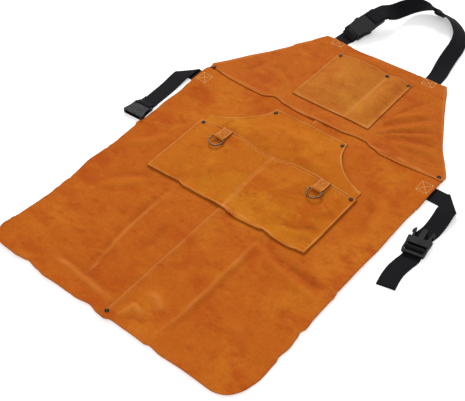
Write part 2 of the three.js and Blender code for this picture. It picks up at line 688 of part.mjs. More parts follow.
// A female half: webbing bar at u = 0, mouth at u = SOCKET_LENGTH.
function addSocket(name, frame) {
  const end = SOCKET_LENGTH;
  const outline = bothSides([
    [8.6, -21.5], [10, -21.6], [18, -21.8], [26, -23], [33, -25.4], [37, -26], [end, -25.2],
  ]);
  let body = plate(outline, SOCKET_THICK, frame);
  const left = slabAt(frame, 0.6, 14, -23.4, -20.4, 6.4);
  const right = slabAt(frame, 0.6, 14, 20.4, 23.4, 6.4);
  body = body.add(left).add(right);
  const bar = new THREE.CylinderGeometry(SOCKET_BAR_RADIUS, SOCKET_BAR_RADIUS, 42, 12);
  bar.translate(2.4, 0, 0).applyMatrix4(frame.matrix);
  body = body.add(toSolid(bar));
  body = body.subtract(slab(frame, 11, end + 5, 20.3, 6.9));
  body = body.subtract(slabAt(frame, 15.5, 28.6, 15, 40, 6.9));
  body = body.subtract(slabAt(frame, 15.5, 28.6, -40, -15, 6.9));
  place(name, toGeometry(body), PLASTIC_LOOK);
}

// A male half: end bar at u = 0, prongs towards -u.
function addPlug(name, frame) {
  const outline = bothSides([
    [-PLUG_OUTER, -24.5], [-31, -24], [-25, -23.3], [-6, -23.3], [-1.5, -22.4], [0, -20],
  ]);
  let body = plate(outline, PLUG_THICK, frame);
  body = body.subtract(slab(frame, -14, -6, 20.3, 20));
  body = body.subtract(slab(frame, -26, -18, 20.3, 20));
  const room = slab(frame, -19, -13, 20.1, 20).subtract(slab(frame, -20, -12, 25, BAR_THICK));
  body = body.subtract(room);
  const guide = plate(bothSides([[-69, -2.6], [-66, -5], [-PLUG_OUTER + 2, -5.6]]), 5.4, frame);
  body = body.add(guide);
  const ends = slab(frame, -7, 2, 20.1, 20).subtract(slab(frame, -8, 3, 25, BAR_THICK + 0.4));
  body = body.subtract(ends);
  place(name, toGeometry(body), PLASTIC_LOOK);
}

// One springy arm, side +1 or -1, latched by its barb in the socket's window.
function addArm(name, frame, side) {
  const outline = [
    [-PLUG_OUTER - 0.35, 12.6], [-PLUG_OUTER - 0.35, 18.8], [-54.9, 19.4], [-55.2, 22.6], [-58, 23],
    [-63, 21.6], [-67, 18.4], [-67, 16.6], [-60, 15.8], [-50, 14.2],
  ];
  const points = outline.map(([x, y]) => [x, y * side]);
  if (side > 0) points.reverse();
  place(name, toGeometry(plate(points, 5.2, frame)), PLASTIC_LOOK);
}

function addSlider() {
  const half = SLIDER_LENGTH / 2;
  const wide = SLIDER_WIDTH / 2;
  const outline = bothSides([[-half, -wide + 4], [-half + 4, -wide], [half - 4, -wide], [half, -wide + 4]]);
  let body = plate(outline, SLIDER_THICK, SLIDER);
  body = body.subtract(slab(SLIDER, -9.5, -2, 20.3, 20));
  body = body.subtract(slab(SLIDER, 2, 9.5, 20.3, 20));
  place("neck_slider", toGeometry(body), PLASTIC_LOOK);
}

addSkirt();
addBib();
addChestPocket();
addHandPocket();
addLapPocket();
addRivets();
addToolLoop("tool_loop_left", LEFT_LOOP_X);
addToolLoop("tool_loop_right", RIGHT_LOOP_X);
addRing("d_ring_left", LEFT_LOOP_X);
addRing("d_ring_right", RIGHT_LOOP_X);
addLeftNeckStrap();
addRightNeckStrap();
addLeftWaistStrap();
addRightWaistStrap();
addSocket("neck_socket", NECK_SOCKET);
addPlug("neck_plug", NECK_PLUG);
addArm("neck_arm_left", NECK_PLUG, 1);
addArm("neck_arm_right", NECK_PLUG, -1);
addSlider();
addSocket("waist_socket", WAIST_SOCKET);
addPlug("waist_plug", WAIST_PLUG);
addArm("waist_arm_left", WAIST_PLUG, -1);
addArm("waist_arm_right", WAIST_PLUG, 1);

export default apron;
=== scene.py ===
"""Split-leather welding apron, laid flat.

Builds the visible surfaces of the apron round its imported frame: leather panels, folded pocket
edges, thread, webbing, buckles, rivets and rings. Every length is in metres.
"""

import math

import bmesh
import bpy
from bpy.props import FloatProperty, FloatVectorProperty, IntProperty, PointerProperty
from mathutils import Matrix, Vector, noise
from mathutils.bvhtree import BVHTree


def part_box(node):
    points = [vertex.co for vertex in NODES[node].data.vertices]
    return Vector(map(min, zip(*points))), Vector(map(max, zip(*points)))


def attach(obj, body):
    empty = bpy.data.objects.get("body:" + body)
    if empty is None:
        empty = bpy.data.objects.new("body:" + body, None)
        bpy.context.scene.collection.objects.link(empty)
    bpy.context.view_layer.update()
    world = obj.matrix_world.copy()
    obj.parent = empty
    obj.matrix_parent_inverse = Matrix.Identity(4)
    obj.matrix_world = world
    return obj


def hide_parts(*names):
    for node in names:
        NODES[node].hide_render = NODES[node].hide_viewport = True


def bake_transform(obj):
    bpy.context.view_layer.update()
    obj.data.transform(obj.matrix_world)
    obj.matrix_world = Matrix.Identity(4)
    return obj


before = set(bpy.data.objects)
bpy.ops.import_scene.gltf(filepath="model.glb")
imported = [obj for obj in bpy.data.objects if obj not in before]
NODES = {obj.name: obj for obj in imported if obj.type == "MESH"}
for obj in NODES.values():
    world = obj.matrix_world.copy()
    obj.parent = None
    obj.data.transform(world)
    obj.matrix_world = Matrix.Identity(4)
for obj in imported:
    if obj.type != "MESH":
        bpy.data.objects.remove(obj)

bl_info = {
    "name": "Welding Apron",
    "version": (1, 0, 0),
    "blender": (4, 5, 0),
    "location": "View3D > Sidebar > Apron",
    "description": "Builds a split-leather welding apron round its packed frame",
    "category": "Add Mesh",
}

MM = 0.001
SKIRT_LOW, SKIRT_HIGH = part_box("skirt_left")
SKIRT_HALF = -SKIRT_LOW.x
HEM_Y = SKIRT_LOW.y
# How far above the hem the frame's origin lies.
MID_Y = -round(HEM_Y, 4)
SEAM_LAP = SKIRT_HIGH.x
BIB_LOW, BIB_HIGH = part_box("bib")
CHEST_LOW, CHEST_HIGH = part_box("chest_pocket")
HAND_LOW, HAND_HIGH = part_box("hand_pocket")
LAP_LOW, LAP_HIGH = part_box("lap_pocket")


# ---- sizes and colours ----


def length(name, description, default, low=0.0):
    return FloatProperty(
        name=name, description=description, default=default, min=low, unit="LENGTH", precision=4
    )


def colour(name, description, default):
    return FloatVectorProperty(
        name=name, description=description, default=default, size=3, subtype="COLOR", min=0, max=1
    )


class ApronSizes(bpy.types.PropertyGroup):
    """Sizes that a maker would change."""

    cell: length("Leather cell", "Spacing of the leather's surface points", 0.0052, 0.002)
    leather: length("Skirt and bib leather", "Thickness of the skirt and bib", 0.0016)
    pocket_leather: length("Pocket leather", "Thickness of the pockets", 0.0014)
    corner: length("Hem corner", "Radius of the skirt's lower corners", 0.045)
    crease: FloatProperty(name="Crease", description="How deep the creases are", default=2.0, min=0)
    ripple: length("Ripple", "How high the leather stands off where it lies uneven", 0.0034)
    roll_width: length("Folded edge", "Width of a pocket's folded edge", 0.0052)
    roll_height: length("Folded edge height", "How far a folded edge stands up", 0.0009)
    roll_rub: FloatProperty(
        name="Rubbed edge", description="How pale a folded edge is", default=0.5, min=0, max=1
    )
    stitch: length("Stitch", "Length of one stitch", 0.0036)
    stitch_pitch: length("Stitch pitch", "Distance from stitch to stitch", 0.0046)
    thread: length("Thread", "Diameter of the sewing thread", 0.0009)
    web_width: length("Webbing width", "Width of the webbing", 0.038)
    web_thick: length("Webbing thickness", "Thickness of the webbing", 0.0018)
    wire: length("Ring wire", "Diameter of the rings' wire", 0.0032)
    cap: length("Rivet cap", "Diameter of a rivet's cap", 0.0092)


class ApronColours(bpy.types.PropertyGroup):
    """Colours of the leather, thread, webbing, plastic and metal."""

    skirt: colour("Skirt", "Colour of the skirt's leather", (0.475, 0.1085, 0.0085))
    bib: colour("Bib", "Colour of the bib's leather", (0.470, 0.1110, 0.0110))
    chest: colour("Chest pocket", "Colour of the chest pocket's leather", (0.475, 0.143, 0.0170))
    pocket: colour("Pockets", "Colour of the hand and lap pockets' leather", (0.500, 0.132, 0.0080))
    worn: colour("Folded edges", "Colour where the nap is stretched or rubbed", (0.74, 0.30, 0.080))
    raw: colour("Cut edges", "Colour of a cut edge", (0.20, 0.052, 0.012))
    ring: colour("Rings", "Colour of the rings", (0.150, 0.105, 0.072))
    thread: colour("Thread", "Colour of the sewing thread", (0.83, 0.39, 0.12))
    dyed_thread: colour("Dyed thread", "Colour of the centre seam's thread", (0.62, 0.235, 0.055))
    bar_thread: colour("Strap thread", "Colour of the thread that holds the straps", (0.86, 0.50, 0.19))
    webbing: colour("Webbing", "Colour of the webbing", (0.0045, 0.0045, 0.0055))
    plastic: colour("Buckles", "Colour of the buckles", (0.0045, 0.0045, 0.0055))
    metal: colour("Rivets", "Colour of the rivets", (0.060, 0.044, 0.034))


class ApronStage(bpy.types.PropertyGroup):
    """Where the apron lies and how it is lit."""

    floor: colour("Floor", "Colour of the floor", (0.93, 0.93, 0.93))
    sky: FloatProperty(name="Sky", description="Brightness all round", default=0.56, min=0)
    glow: FloatProperty(name="Glow", description="Light the floor gives off", default=0.30, min=0)
    key: FloatProperty(
        name="Key light", description="Power of the main light", default=74.0, min=0, unit="POWER"
    )
    lens: FloatProperty(
        name="Lens", description="Focal length", default=84.11, min=1, unit="CAMERA"
    )
    seed: IntProperty(name="Seed", description="Which lie of the leather is used", default=3)


def sizes():
    return bpy.context.scene.apron_sizes


def colours():
    return bpy.context.scene.apron_colours


# ---- small helpers ----


def mix(a, b, t):
    return a + (b - a) * t


def smooth(start, end, value):
    t = min(1.0, max(0.0, (value - start) / (end - start)))
    return t * t * (3 - 2 * t)


def spread(start, end, count):
    return [mix(start, end, i / count) for i in range(count + 1)]


def mm(x, y, z=0.0):
    """A point in metres from millimetres above the hem's line, as a cutter measures the apron."""
    return Vector((x * MM, y * MM - MID_Y, z * MM))


def new_mesh(name, points, faces, material, body="apron"):
    mesh = bpy.data.meshes.new(name)
    mesh.from_pydata([tuple(p) for p in points], [], faces)
    mesh.validate()
    mesh.update()
    piece = bpy.data.objects.new(name, mesh)
    bpy.context.scene.collection.objects.link(piece)
    mesh.materials.append(material)
    mesh.polygons.foreach_set("use_smooth", [True] * len(mesh.polygons))
    if body:
        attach(piece, body)
    return piece


def point_values(piece, name, values):
    """Keeps one number for each point of a piece, for its material to read."""
    layer = piece.data.attributes.new(name, "FLOAT", "POINT")
    layer.data.foreach_set("value", values)


def tree_of(obj):
    return BVHTree.FromObject(obj, bpy.context.evaluated_depsgraph_get())


def height_over(tree, x, y):
    """The highest point of a piece at a place, or None outside it."""
    above = 0.2
    hit = tree.ray_cast(Vector((x, y, above)), Vector((0, 0, -1)))[0]
    return hit.z if hit else None


def hump(off, width):
    """1 in the middle of a line and fading to 0 beside it."""
    return math.exp(-((off / width) ** 2))


# ---- where the leather lies ----

HAND_ARC = mm(210, 651)
HAND_ARC_RADIUS = 118 * MM
BIB_TOP_HALF = 155 * MM
BIB_HOLLOW = 8 * MM
BIB_LAP_TOP = 672 * MM - MID_Y
CHEST_DIVISION_X = 36 * MM
SEAM_HEIGHT = 0.8 * MM
# A crease this deep, at a crease setting of 1, takes its full painted shade, and a ridge this high its full
# painted highlight.
DEEP_CREASE = 2.4 * MM

# Places where fittings lie on the leather, so that it has to lie flat: centre and reach.
CALM = [
    (mm(-124, 487), 0.030), (mm(128, 487), 0.030), (mm(-124, 462), 0.026), (mm(128, 462), 0.026),
    (mm(-122, 905), 0.034), (mm(122, 905), 0.034),
]


# How far each edge lies from its drawn line, as hand-cut and creased leather does, in millimetres.
# Sides: height above the hem, and how far out. Hem, seam and top: place across, and how far up.
SKIRT_RIGHT_EDGE = [
    (0, 5), (11, 4), (36, 3), (66, 8), (110, 7), (120, 4), (146, 7), (173, 5), (186, 2), (197, 6),
    (228, 3), (270, 3), (284, 4), (290, -3), (303, 1), (365, 1), (429, 2), (536, 0), (554, 1),
    (564, -2), (592, -2), (668, 0),
]
SKIRT_LEFT_EDGE = [
    (0, -16), (18, -14), (34, -12), (59, -9), (86, -6), (137, -2), (178, 1), (201, -2), (230, 2),
    (277, 6), (318, 3), (334, -2), (347, 0), (382, -1), (412, -2), (422, -6), (436, -3), (448, 1),
    (475, 2), (505, 3), (550, 0), (580, -1), (603, 2), (638, 3), (668, 0),
]
HEM_EDGE = [
    (-305, 6), (-271, 4), (-250, 3), (-234, 2), (-216, 4), (-206, 7), (-177, 2), (-156, -2),
    (-133, -1), (-86, -1), (-73, -2), (-38, 2), (-13, -4), (8, -5), (19, 0), (55, -1), (104, -3),
    (112, 0), (144, -4), (184, -3), (220, -4), (254, -5), (276, -3), (305, 2),
]
BIB_RIGHT_EDGE = [
    (655, -1), (672, -3), (703, -3), (742, 0), (781, 3), (822, 4), (864, 5), (891, 5), (914, 3),
]
BIB_LEFT_EDGE = [
    (655, 0), (672, -3), (697, -7), (725, -7), (752, -7), (791, -4), (830, -3), (840, -6), (861, -4),
    (879, -2), (900, -4), (914, -3),
]
BIB_TOP_EDGE = [
    (-160, -7), (-136, -5), (-100, -8), (-62, -10), (-12, -7), (28, -7), (85, -4), (123, -4), (160, -1),
]
LAP_FOOT_EDGE = [
    (-202, 0), (-190, 0), (-150, 1), (-120, 4), (-98, -2), (-60, -2), (-20, 0), (0, -1), (20, -4),
    (40, -7), (70, -5), (90, -3), (101, 1), (112, -1), (128, -4), (165, -5), (190, -1), (202, 0),
]
WAIST_EDGE = [
    (-303, 3), (-290, 4), (-240, -3), (-187, -6), (-150, -6), (-119, 6), (-90, -1), (-57, -4), (0, -3),
    (49, 0), (97, 6), (116, 6), (137, -2), (166, -8), (204, -8), (254, -4), (290, -2), (303, -2),
]


def read_edge(table, place):
    """Reads an edge's table at a place in millimetres, smoothly, and gives metres."""
    if place <= table[0][0]:
        return table[0][1] * MM
    for (a, low), (b, high) in zip(table, table[1:]):
        if place <= b:
            return mix(low, high, smooth(a, b, place)) * MM
    return table[-1][1] * MM


class Fold:
    """A soft crease: a line of points in millimetres, its height and half its width."""

    def __init__(self, height, width, *points):
        self.height = height * MM
        self.width = width * MM
        self.points = [mm(x, y) for x, y in points]
        self.spans = [(b - a).length for a, b in zip(self.points, self.points[1:])]
        self.total = sum(self.spans)
        reach = 3 * self.width
        self.low = [min(p[i] for p in self.points) - reach for i in (0, 1)]
        self.high = [max(p[i] for p in self.points) + reach for i in (0, 1)]

    def at(self, x, y):
        if not (self.low[0] < x < self.high[0] and self.low[1] < y < self.high[1]):
            return 0.0
        best, place, run = 1.0, 0.0, 0.0
        stray = 0.0032
        here = Vector((x + stray * wave(x, y, 24, 6.6), y + stray * wave(x, y, 24, 8.8), 0))
        for start, end, span in zip(self.points, self.points[1:], self.spans):
            way = end - start
            share = min(1.0, max(0.0, (here - start).dot(way) / way.length_squared))
            off = (start + way * share - here).length
            if off < best:
                best, place = off, run + share * span
            run += span
        ends = min(place, self.total - place) / self.total
        taper = smooth(-0.02, 0.28, ends)
        return sizes().crease * self.height * taper * hump(best, self.width)


# Creases of the skirt: where it was folded in its packet, and drag lines beside the pockets.
SKIRT_FOLDS = [
    Fold(1.7, 3.4, (-112, 352), (-112, 336), (-110, 186), (-104, 125), (-93, 40), (-90, 12)),
    Fold(-1.3, 7, (-124, 330), (-121, 186), (-115, 125), (-103, 40)),
    Fold(1.7, 3.6, (113, 350), (114, 304), (113, 133), (114, 91), (104, 31), (103, 4)),
    Fold(-1.2, 7, (124, 300), (124, 133), (124, 91), (114, 31)),
    Fold(1.6, 6, (-190, 50), (-167, 46), (-129, 45), (-70, 41), (-3, 32)),
    Fold(-1.4, 6, (-185, 60), (-129, 56), (-70, 52), (-12, 45)),
    Fold(-1.5, 5, (-97, 20), (-93, 58), (-96, 118)),
    Fold(1.9, 5, (18, 4), (30, 50), (65, 37)),
    Fold(-1.4, 6, (38, 4), (45, 36), (80, 30)),
    Fold(1.4, 6, (27, 84), (51, 90), (68, 77), (74, 56)),
    Fold(-2.6, 6.5, (120, 330), (150, 306), (179, 296), (213, 294), (248, 292), (300, 284)),
    Fold(2.3, 9, (120, 306), (160, 284), (213, 270), (255, 266), (300, 258)),
    Fold(1.6, 5, (139, 290), (146, 272), (159, 254), (180, 240)),
    Fold(-1.2, 5, (119, 304), (111, 336)),
    Fold(1.3, 7, (227, 277), (240, 243), (248, 205), (252, 180)),
    Fold(1.6, 12, (-250, 230), (-210, 262), (-166, 310)),
    Fold(-1.2, 10, (-262, 262), (-220, 290), (-170, 334)),
    Fold(1.2, 5, (-130, 160), (-112, 142), (-92, 134)),
    Fold(1.5, 12, (-290, 360), (-250, 390), (-220, 440)),
    Fold(1.4, 14, (120, 644), (128, 600), (134, 560)),
    Fold(-1.1, 10, (210, 560), (240, 500), (262, 430)),
    Fold(1.4, 13, (236, 580), (262, 510), (280, 440)),
    Fold(1.1, 16, (-240, 600), (-200, 560), (-180, 520)),
    Fold(1.2, 12, (40, 240), (60, 180), (64, 120)),
    Fold(-1.0, 12, (-60, 260), (-50, 200), (-58, 140)),
    Fold(1.3, 14, (180, 140), (230, 110), (290, 96)),
    Fold(1.1, 12, (-280, 130), (-230, 118), (-180, 96)),
]

# The first of these are sharp enough for their ridges to be rubbed pale.
SHARP_FOLDS = 10

# Drag lines of the bib, which run out from the chest pocket's lower corners.
BIB_FOLDS = [
    Fold(1.5, 5, (104, 728), (132, 770), (156, 795), (192, 826)),
    Fold(-1.6, 4.4, (108, 712), (140, 752), (176, 790), (204, 812)),
    Fold(1.6, 4.6, (112, 695), (135, 719), (176, 762), (212, 796)),
    Fold(-1.8, 4.2, (112, 686), (150, 722), (190, 752), (230, 780)),
    Fold(1.6, 4.4, (111, 679), (151, 714), (200, 744), (244, 762)),
    Fold(-1.7, 4, (140, 694), (180, 716), (222, 731), (256, 738)),
    Fold(1.5, 5, (150, 684), (196, 704), (244, 712), (280, 706)),
    Fold(-1.2, 4.5, (176, 684), (214, 692), (250, 694), (282, 688)),
    Fold(-1.3, 4.5, (112, 744), (126, 784), (140, 822), (168, 862)),
    Fold(1.2, 9, (-110, 700), (-140, 722), (-176, 732), (-216, 728)),
    Fold(-1.2, 6, (-112, 716), (-146, 744), (-186, 756)),
    Fold(1.2, 12, (-108, 770), (-140, 800), (-166, 836)),
    Fold(-1.1, 5, (-238, 690), (-222, 722), (-214, 760)),
    Fold(0.9, 14, (-70, 884), (0, 890), (70, 884)),
]

LAP_FOLDS = [
    Fold(-2.0, 4.5, (120, 372), (140, 372), (156, 381), (172, 396), (196, 402)),
    Fold(1.3, 7, (112, 356), (140, 358), (164, 368), (184, 384)),
    Fold(1.0, 9, (82, 350), (90, 372), (96, 400)),
    Fold(1.1, 8, (-60, 354), (-84, 380), (-96, 420)),
    Fold(-0.8, 8, (-150, 370), (-160, 410), (-158, 440)),
    Fold(1.0, 10, (60, 420), (76, 452), (82, 490)),
    Fold(0.9, 7, (150, 420), (170, 440), (180, 470)),
]

HAND_FOLDS = [
    Fold(1.0, 12, (-60, 590), (0, 582), (60, 590)),
    Fold(1.0, 10, (-100, 556), (-60, 540), (-20, 544)),
    Fold(1.0, 10, (30, 552), (70, 536), (112, 548)),
    Fold(-0.8, 9, (-20, 600), (-30, 570), (-24, 530)),
]

CHEST_FOLDS = [
    Fold(0.9, 8, (-74, 806), (-20, 786), (16, 770), (84, 766)),
    Fold(-0.7, 7, (-70, 790), (-10, 768), (30, 756)),
    Fold(0.8, 9, (-60, 840), (-40, 800), (-44, 760)),
]


def wave(x, y, scale, salt):
    """Smooth noise from -1 to 1. scale is the number of bumps in a metre."""
    seed = bpy.context.scene.apron_stage.seed
    return noise.noise(Vector((x * scale, y * scale, salt + 7.3 * seed)))


def calm(x, y):
    """0 where a fitting holds the leather flat, 1 elsewhere."""
    free = 1.0
    for centre, reach in CALM:
        away = math.hypot(x - centre.x, y - centre.y)
        free *= smooth(reach * 0.55, reach * 1.5, away)
    return free


def ripple(x, y):
    """How far all the leather at a place stands off its flat lie. Never negative."""
    top = sizes().ripple
    lie = 0.48 + 0.60 * wave(x, y, 5.5, 0.3) + 0.36 * wave(x, y, 13, 4.1)
    lie += 0.16 * wave(x, y, 29, 9.7)
    lie = top * max(0.04, lie)
    folds = sum(fold.at(x, y) for fold in SKIRT_FOLDS)
    if y > BIB_LOW.y:
        folds += sum(fold.at(x, y) for fold in BIB_FOLDS)
    edge = SKIRT_HALF - abs(x)
    curl, curl_width = 0.0022, 0.032
    lifted = 1 - smooth(0, curl_width, min(edge, y - HEM_Y))
    if y < BIB_LOW.y:
        folds += lifted * curl * (0.5 + 0.9 * wave(x, y, 17, 2.2))
    grain = 0.00022 * wave(x, y, 70, 5.5) + 0.0001 * wave(x, y, 150, 1.5)
    raised = lie + folds + grain
    soft = 0.0006
    return calm(x, y) * 0.5 * (raised + math.sqrt(raised * raised + soft * soft))


class Seat:
    """Reads the lower or upper side of a frame node at a place."""

    def __init__(self, node):
        self.low, self.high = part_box(node)
        self.centre = (self.low + self.high) / 2
        self.tree = tree_of(NODES[node])

    def under(self, x, y):
        return self.cast(x, y, self.low.z - 0.01, Vector((0, 0, 1)))

    def cast(self, x, y, start, way):
        """Steps inward until the node is met, for a place just outside its outline."""
        inward = Vector((self.centre.x - x, self.centre.y - y, 0))
        stride, tries = 0.0022, 8
        step = inward.normalized() * stride
        place = Vector((x, y, start))
        for _ in range(tries):
            hit = self.tree.ray_cast(place, way)[0]
            if hit:
                return hit.z
            place += step
        return self.tree.find_nearest(Vector((x, y, self.centre.z)))[0].z


# ---- leather ----

# How far from an edge the first lines of points lie, so that a fold along it is drawn finely.
EDGE_STEPS = [0.0, 0.0009, 0.0019, 0.0032, 0.0044, 0.0056, 0.0074, 0.0100]


def columns(left, right, count, reach=1.0):
    """Places across a panel, closer together near both edges."""
    room = (right - left) * 0.3
    scale = min(1.0, room / EDGE_STEPS[-1], reach)
    edge = [step * scale for step in EDGE_STEPS]
    inner = spread(left + edge[-1], right - edge[-1], count)[1:-1]
    return [left + step for step in edge] + inner + [right - step for step in reversed(edge)]


def rows_between(low, high, step, fine_low=True, fine_high=True):
    """Places up a panel, closer together near its foot and its top."""
    below = [low + n for n in EDGE_STEPS] if fine_low else [low, low + step]
    above = [high - n for n in reversed(EDGE_STEPS)] if fine_high else [high - step, high]
    count = max(2, round((above[0] - below[-1]) / step))
    return below + spread(below[-1], above[0], count)[1:-1] + above


class Panel:
    """One cut of leather: its outline, how it lies, and how its edges are finished."""

    def __init__(self, name, node, thickness, look):
        self.name = name
        self.seat = Seat(node)
        self.node = node
        self.thickness = thickness
        self.look = look
        self.folds = []
        self.rolled = lambda x, y: 1.0
        self.roll_width = sizes().roll_width
        self.worn = lambda x, y: 0.0
        self.extra = lambda x, y: 0.0
        self.shift = lambda x, y: (x, y)

    def crease(self, x, y):
        """How much painted shade (1) or painted highlight (-1) the creases give the leather's colour at a
        place.
        """
        total = sum(fold.at(x, y) for fold in self.folds + SKIRT_FOLDS)
        if self.node == "bib":
            total += sum(fold.at(x, y) for fold in BIB_FOLDS)
        return max(-1.0, min(1.0, -total / (DEEP_CREASE * sizes().crease)))

    def low(self, x, y):
        """The height of the leather's underside at a place."""
        own = sum(fold.at(x, y) for fold in self.folds)
        return self.seat.under(x, y) + ripple(x, y) + max(0.0, own + self.extra(x, y))

    def build(self, rows, left, right, count):
        """Lays a grid of points between the panel's left and right outlines."""
        size = sizes()
        grid, lows, tops, worn, edges, crease_shading = [], [], [], [], [], []
        for y in rows:
            line = columns(left(y), right(y), count)
            grid.append([self.shift(x, y) for x in line])
        down, wide = len(grid), len(grid[0])
        for j, line in enumerate(grid):
            for i, (x, y) in enumerate(line):
                low = self.low(x, y)
                off = self.rolled(x, y)
                roll = smooth(-0.0002, 0.0011, off) * (1 - smooth(0.7, 1.12, off / self.roll_width))
                on_edge = i in (0, wide - 1) or j in (0, down - 1)
                near_edge = i in (1, wide - 2) or j in (1, down - 2)
                thin = 0.5 if on_edge else 0.9 if near_edge else 1.0
                lows.append((x, y, low + (0.25 * self.thickness if on_edge else 0.0)))
                tops.append((x, y, low + self.thickness * thin + roll * size.roll_height))
                rubbed = max(0.0, 0.55 + 1.1 * wave(x, y, 30, 8.2))
                worn.append(max(self.worn(x, y), roll * size.roll_rub * rubbed))
                # Painted shade in crease valleys and painted highlight on crease ridges, for the material's
                # colour.
                crease_shading.append(self.crease(x, y))
                edges.append(1.0 if on_edge else 0.35 if near_edge else 0.0)
        self.finish(down, wide, lows, tops)
        point_values(self.piece, "worn", worn + worn)
        point_values(self.piece, "edge", edges + edges)
        point_values(self.piece, "crease_shading", crease_shading + crease_shading)

    def finish(self, down, wide, lows, tops):
        """Joins both faces and the rim into one closed mesh."""
        total = down * wide
        faces = []
        for j in range(down - 1):
            for i in range(wide - 1):
                a = j * wide + i
                b, c, d = a + 1, a + wide + 1, a + wide
                faces.append((a, d, c, b))
                faces.append((total + a, total + b, total + c, total + d))
        rim = list(range(wide))
        rim += [j * wide + wide - 1 for j in range(1, down)]
        rim += [(down - 1) * wide + i for i in range(wide - 2, -1, -1)]
        rim += [j * wide for j in range(down - 2, 0, -1)]
        for a, b in zip(rim, rim[1:] + rim[:1]):
            faces.append((a, b, total + b, total + a))
        self.piece = new_mesh(self.name, lows + tops, faces, self.look)
        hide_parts(self.node)
        self.tree = tree_of(self.piece)

    def top(self, x, y):
        """The height of the finished leather at a place, or None outside it."""
        return height_over(self.tree, x, y)


PANELS = {}


def skirt_half(y):
    corner = sizes().corner
    up = HEM_Y + corner - y
    if up <= 0:
        return SKIRT_HALF
    return SKIRT_HALF - corner + math.sqrt(max(0.0, corner * corner - up * up))


def skirt_shift(x, y):
    """The cut edge of a hide is never quite straight."""
    side = smooth(SKIRT_HALF - 0.10, SKIRT_HALF - 0.004, abs(x))
    table = SKIRT_RIGHT_EDGE if x > 0 else SKIRT_LEFT_EDGE
    out = read_edge(table, (y + MID_Y) / MM) + 0.0005 * wave(math.copysign(0.3, x), y, 34, 1.6)
    low = 1 - smooth(HEM_Y + 0.004, HEM_Y + 0.09, y)
    drop = read_edge(HEM_EDGE, x / MM) + 0.0006 * wave(x, 0.1, 30, 2.1)
    return x + math.copysign(side * out, x), y + low * drop


def skirt_rows():
    corner = sizes().corner
    turn = [HEM_Y + corner * (1 - math.cos(t)) for t in spread(0, math.pi / 2, 12)]
    count = round((SKIRT_HIGH.y - turn[-1]) / sizes().cell)
    return turn + spread(turn[-1], SKIRT_HIGH.y, count)[1:]


def skirt_look_worn(x, y):
    """Pale lines along the raised centre seam and on the ridges of the creases."""
    seam = hump(x + 0.0025 + 0.0012 * wave(x, y, 16, 3.7), 0.0026)
    ridges = sum(max(0.0, fold.at(x, y)) for fold in SKIRT_FOLDS[:SHARP_FOLDS])
    free = centre_ridge(x, y) / SEAM_HEIGHT
    broken = max(0.0, 0.6 + 0.7 * wave(x, y, 30, 1.1))
    return 0.42 * seam * free * broken + min(0.42, ridges * 110) * broken


def centre_ridge(x, y):
    """The lapped seam stands up a little, except where the pockets press it flat."""
    below = 1 - smooth(LAP_LOW.y - 0.012, LAP_LOW.y - 0.002, y)
    above = smooth(HAND_HIGH.y + 0.002, HAND_HIGH.y + 0.008, y)
    return SEAM_HEIGHT * max(below, above) * hump(x + 0.001, 0.006)


def add_skirt():
    size = sizes()
    look = leather("skirt_suede", colours().skirt)
    count = round(SKIRT_HALF / size.cell)
    under = Panel("skirt_leather_left", "skirt_left", size.leather, look)
    over = Panel("skirt_leather_right", "skirt_right", size.leather, look)
    for panel in (under, over):
        panel.worn = skirt_look_worn
        panel.shift = skirt_shift
    over.extra = centre_ridge
    under.build(skirt_rows(), lambda y: -skirt_half(y), lambda y: SEAM_LAP, count)
    over.build(skirt_rows(), lambda y: -SEAM_LAP, skirt_half, count)
    for panel in (under, over):
        PANELS[panel.node] = panel


def bib_half(y):
    t = max(0.0, (y - BIB_LAP_TOP) / (BIB_HIGH.y - BIB_LAP_TOP))
    return mix(BIB_HIGH.x, BIB_TOP_HALF, t) - BIB_HOLLOW * 4 * t * (1 - t)


def bib_shift(x, y):
    """The waist seam wanders by a few millimetres, and the sides are cut by hand."""
    low = 1 - smooth(BIB_LOW.y + 0.004, BIB_LOW.y + 0.036, y)
    high = smooth(BIB_HIGH.y - 0.05, BIB_HIGH.y - 0.004, y)
    up = low * read_edge(WAIST_EDGE, x / MM) + high * read_edge(BIB_TOP_EDGE, x / MM)
    side = smooth(0.66, 0.97, abs(x) / bib_half(y))
    table = BIB_RIGHT_EDGE if x > 0 else BIB_LEFT_EDGE
    out = side * (read_edge(table, (y + MID_Y) / MM) + 0.0006 * wave(math.copysign(0.4, x), y, 40, 2.9))
    return x + math.copysign(out, x), y + up


def add_bib():
    size = sizes()
    panel = Panel("bib_leather", "bib", size.leather, leather("bib_suede", colours().bib))
    panel.rolled = lambda x, y: y - BIB_LOW.y
    panel.roll_width = size.roll_width * 0.75
    panel.shift = bib_shift
    panel.worn = lambda x, y: 0.3 * hump(bib_half(y) - abs(x), 0.0022)
    rows = rows_between(BIB_LOW.y, BIB_HIGH.y, size.cell)
    count = round(2 * BIB_HIGH.x / size.cell)
    panel.build(rows, lambda y: -bib_half(y), bib_half, count)
    tall = BIB_HIGH.y - BIB_LOW.y
    area = sum(2 * bib_half(y) for y in spread(BIB_LOW.y, BIB_HIGH.y, 50)) / 51 * tall
    PANELS["bib"] = panel


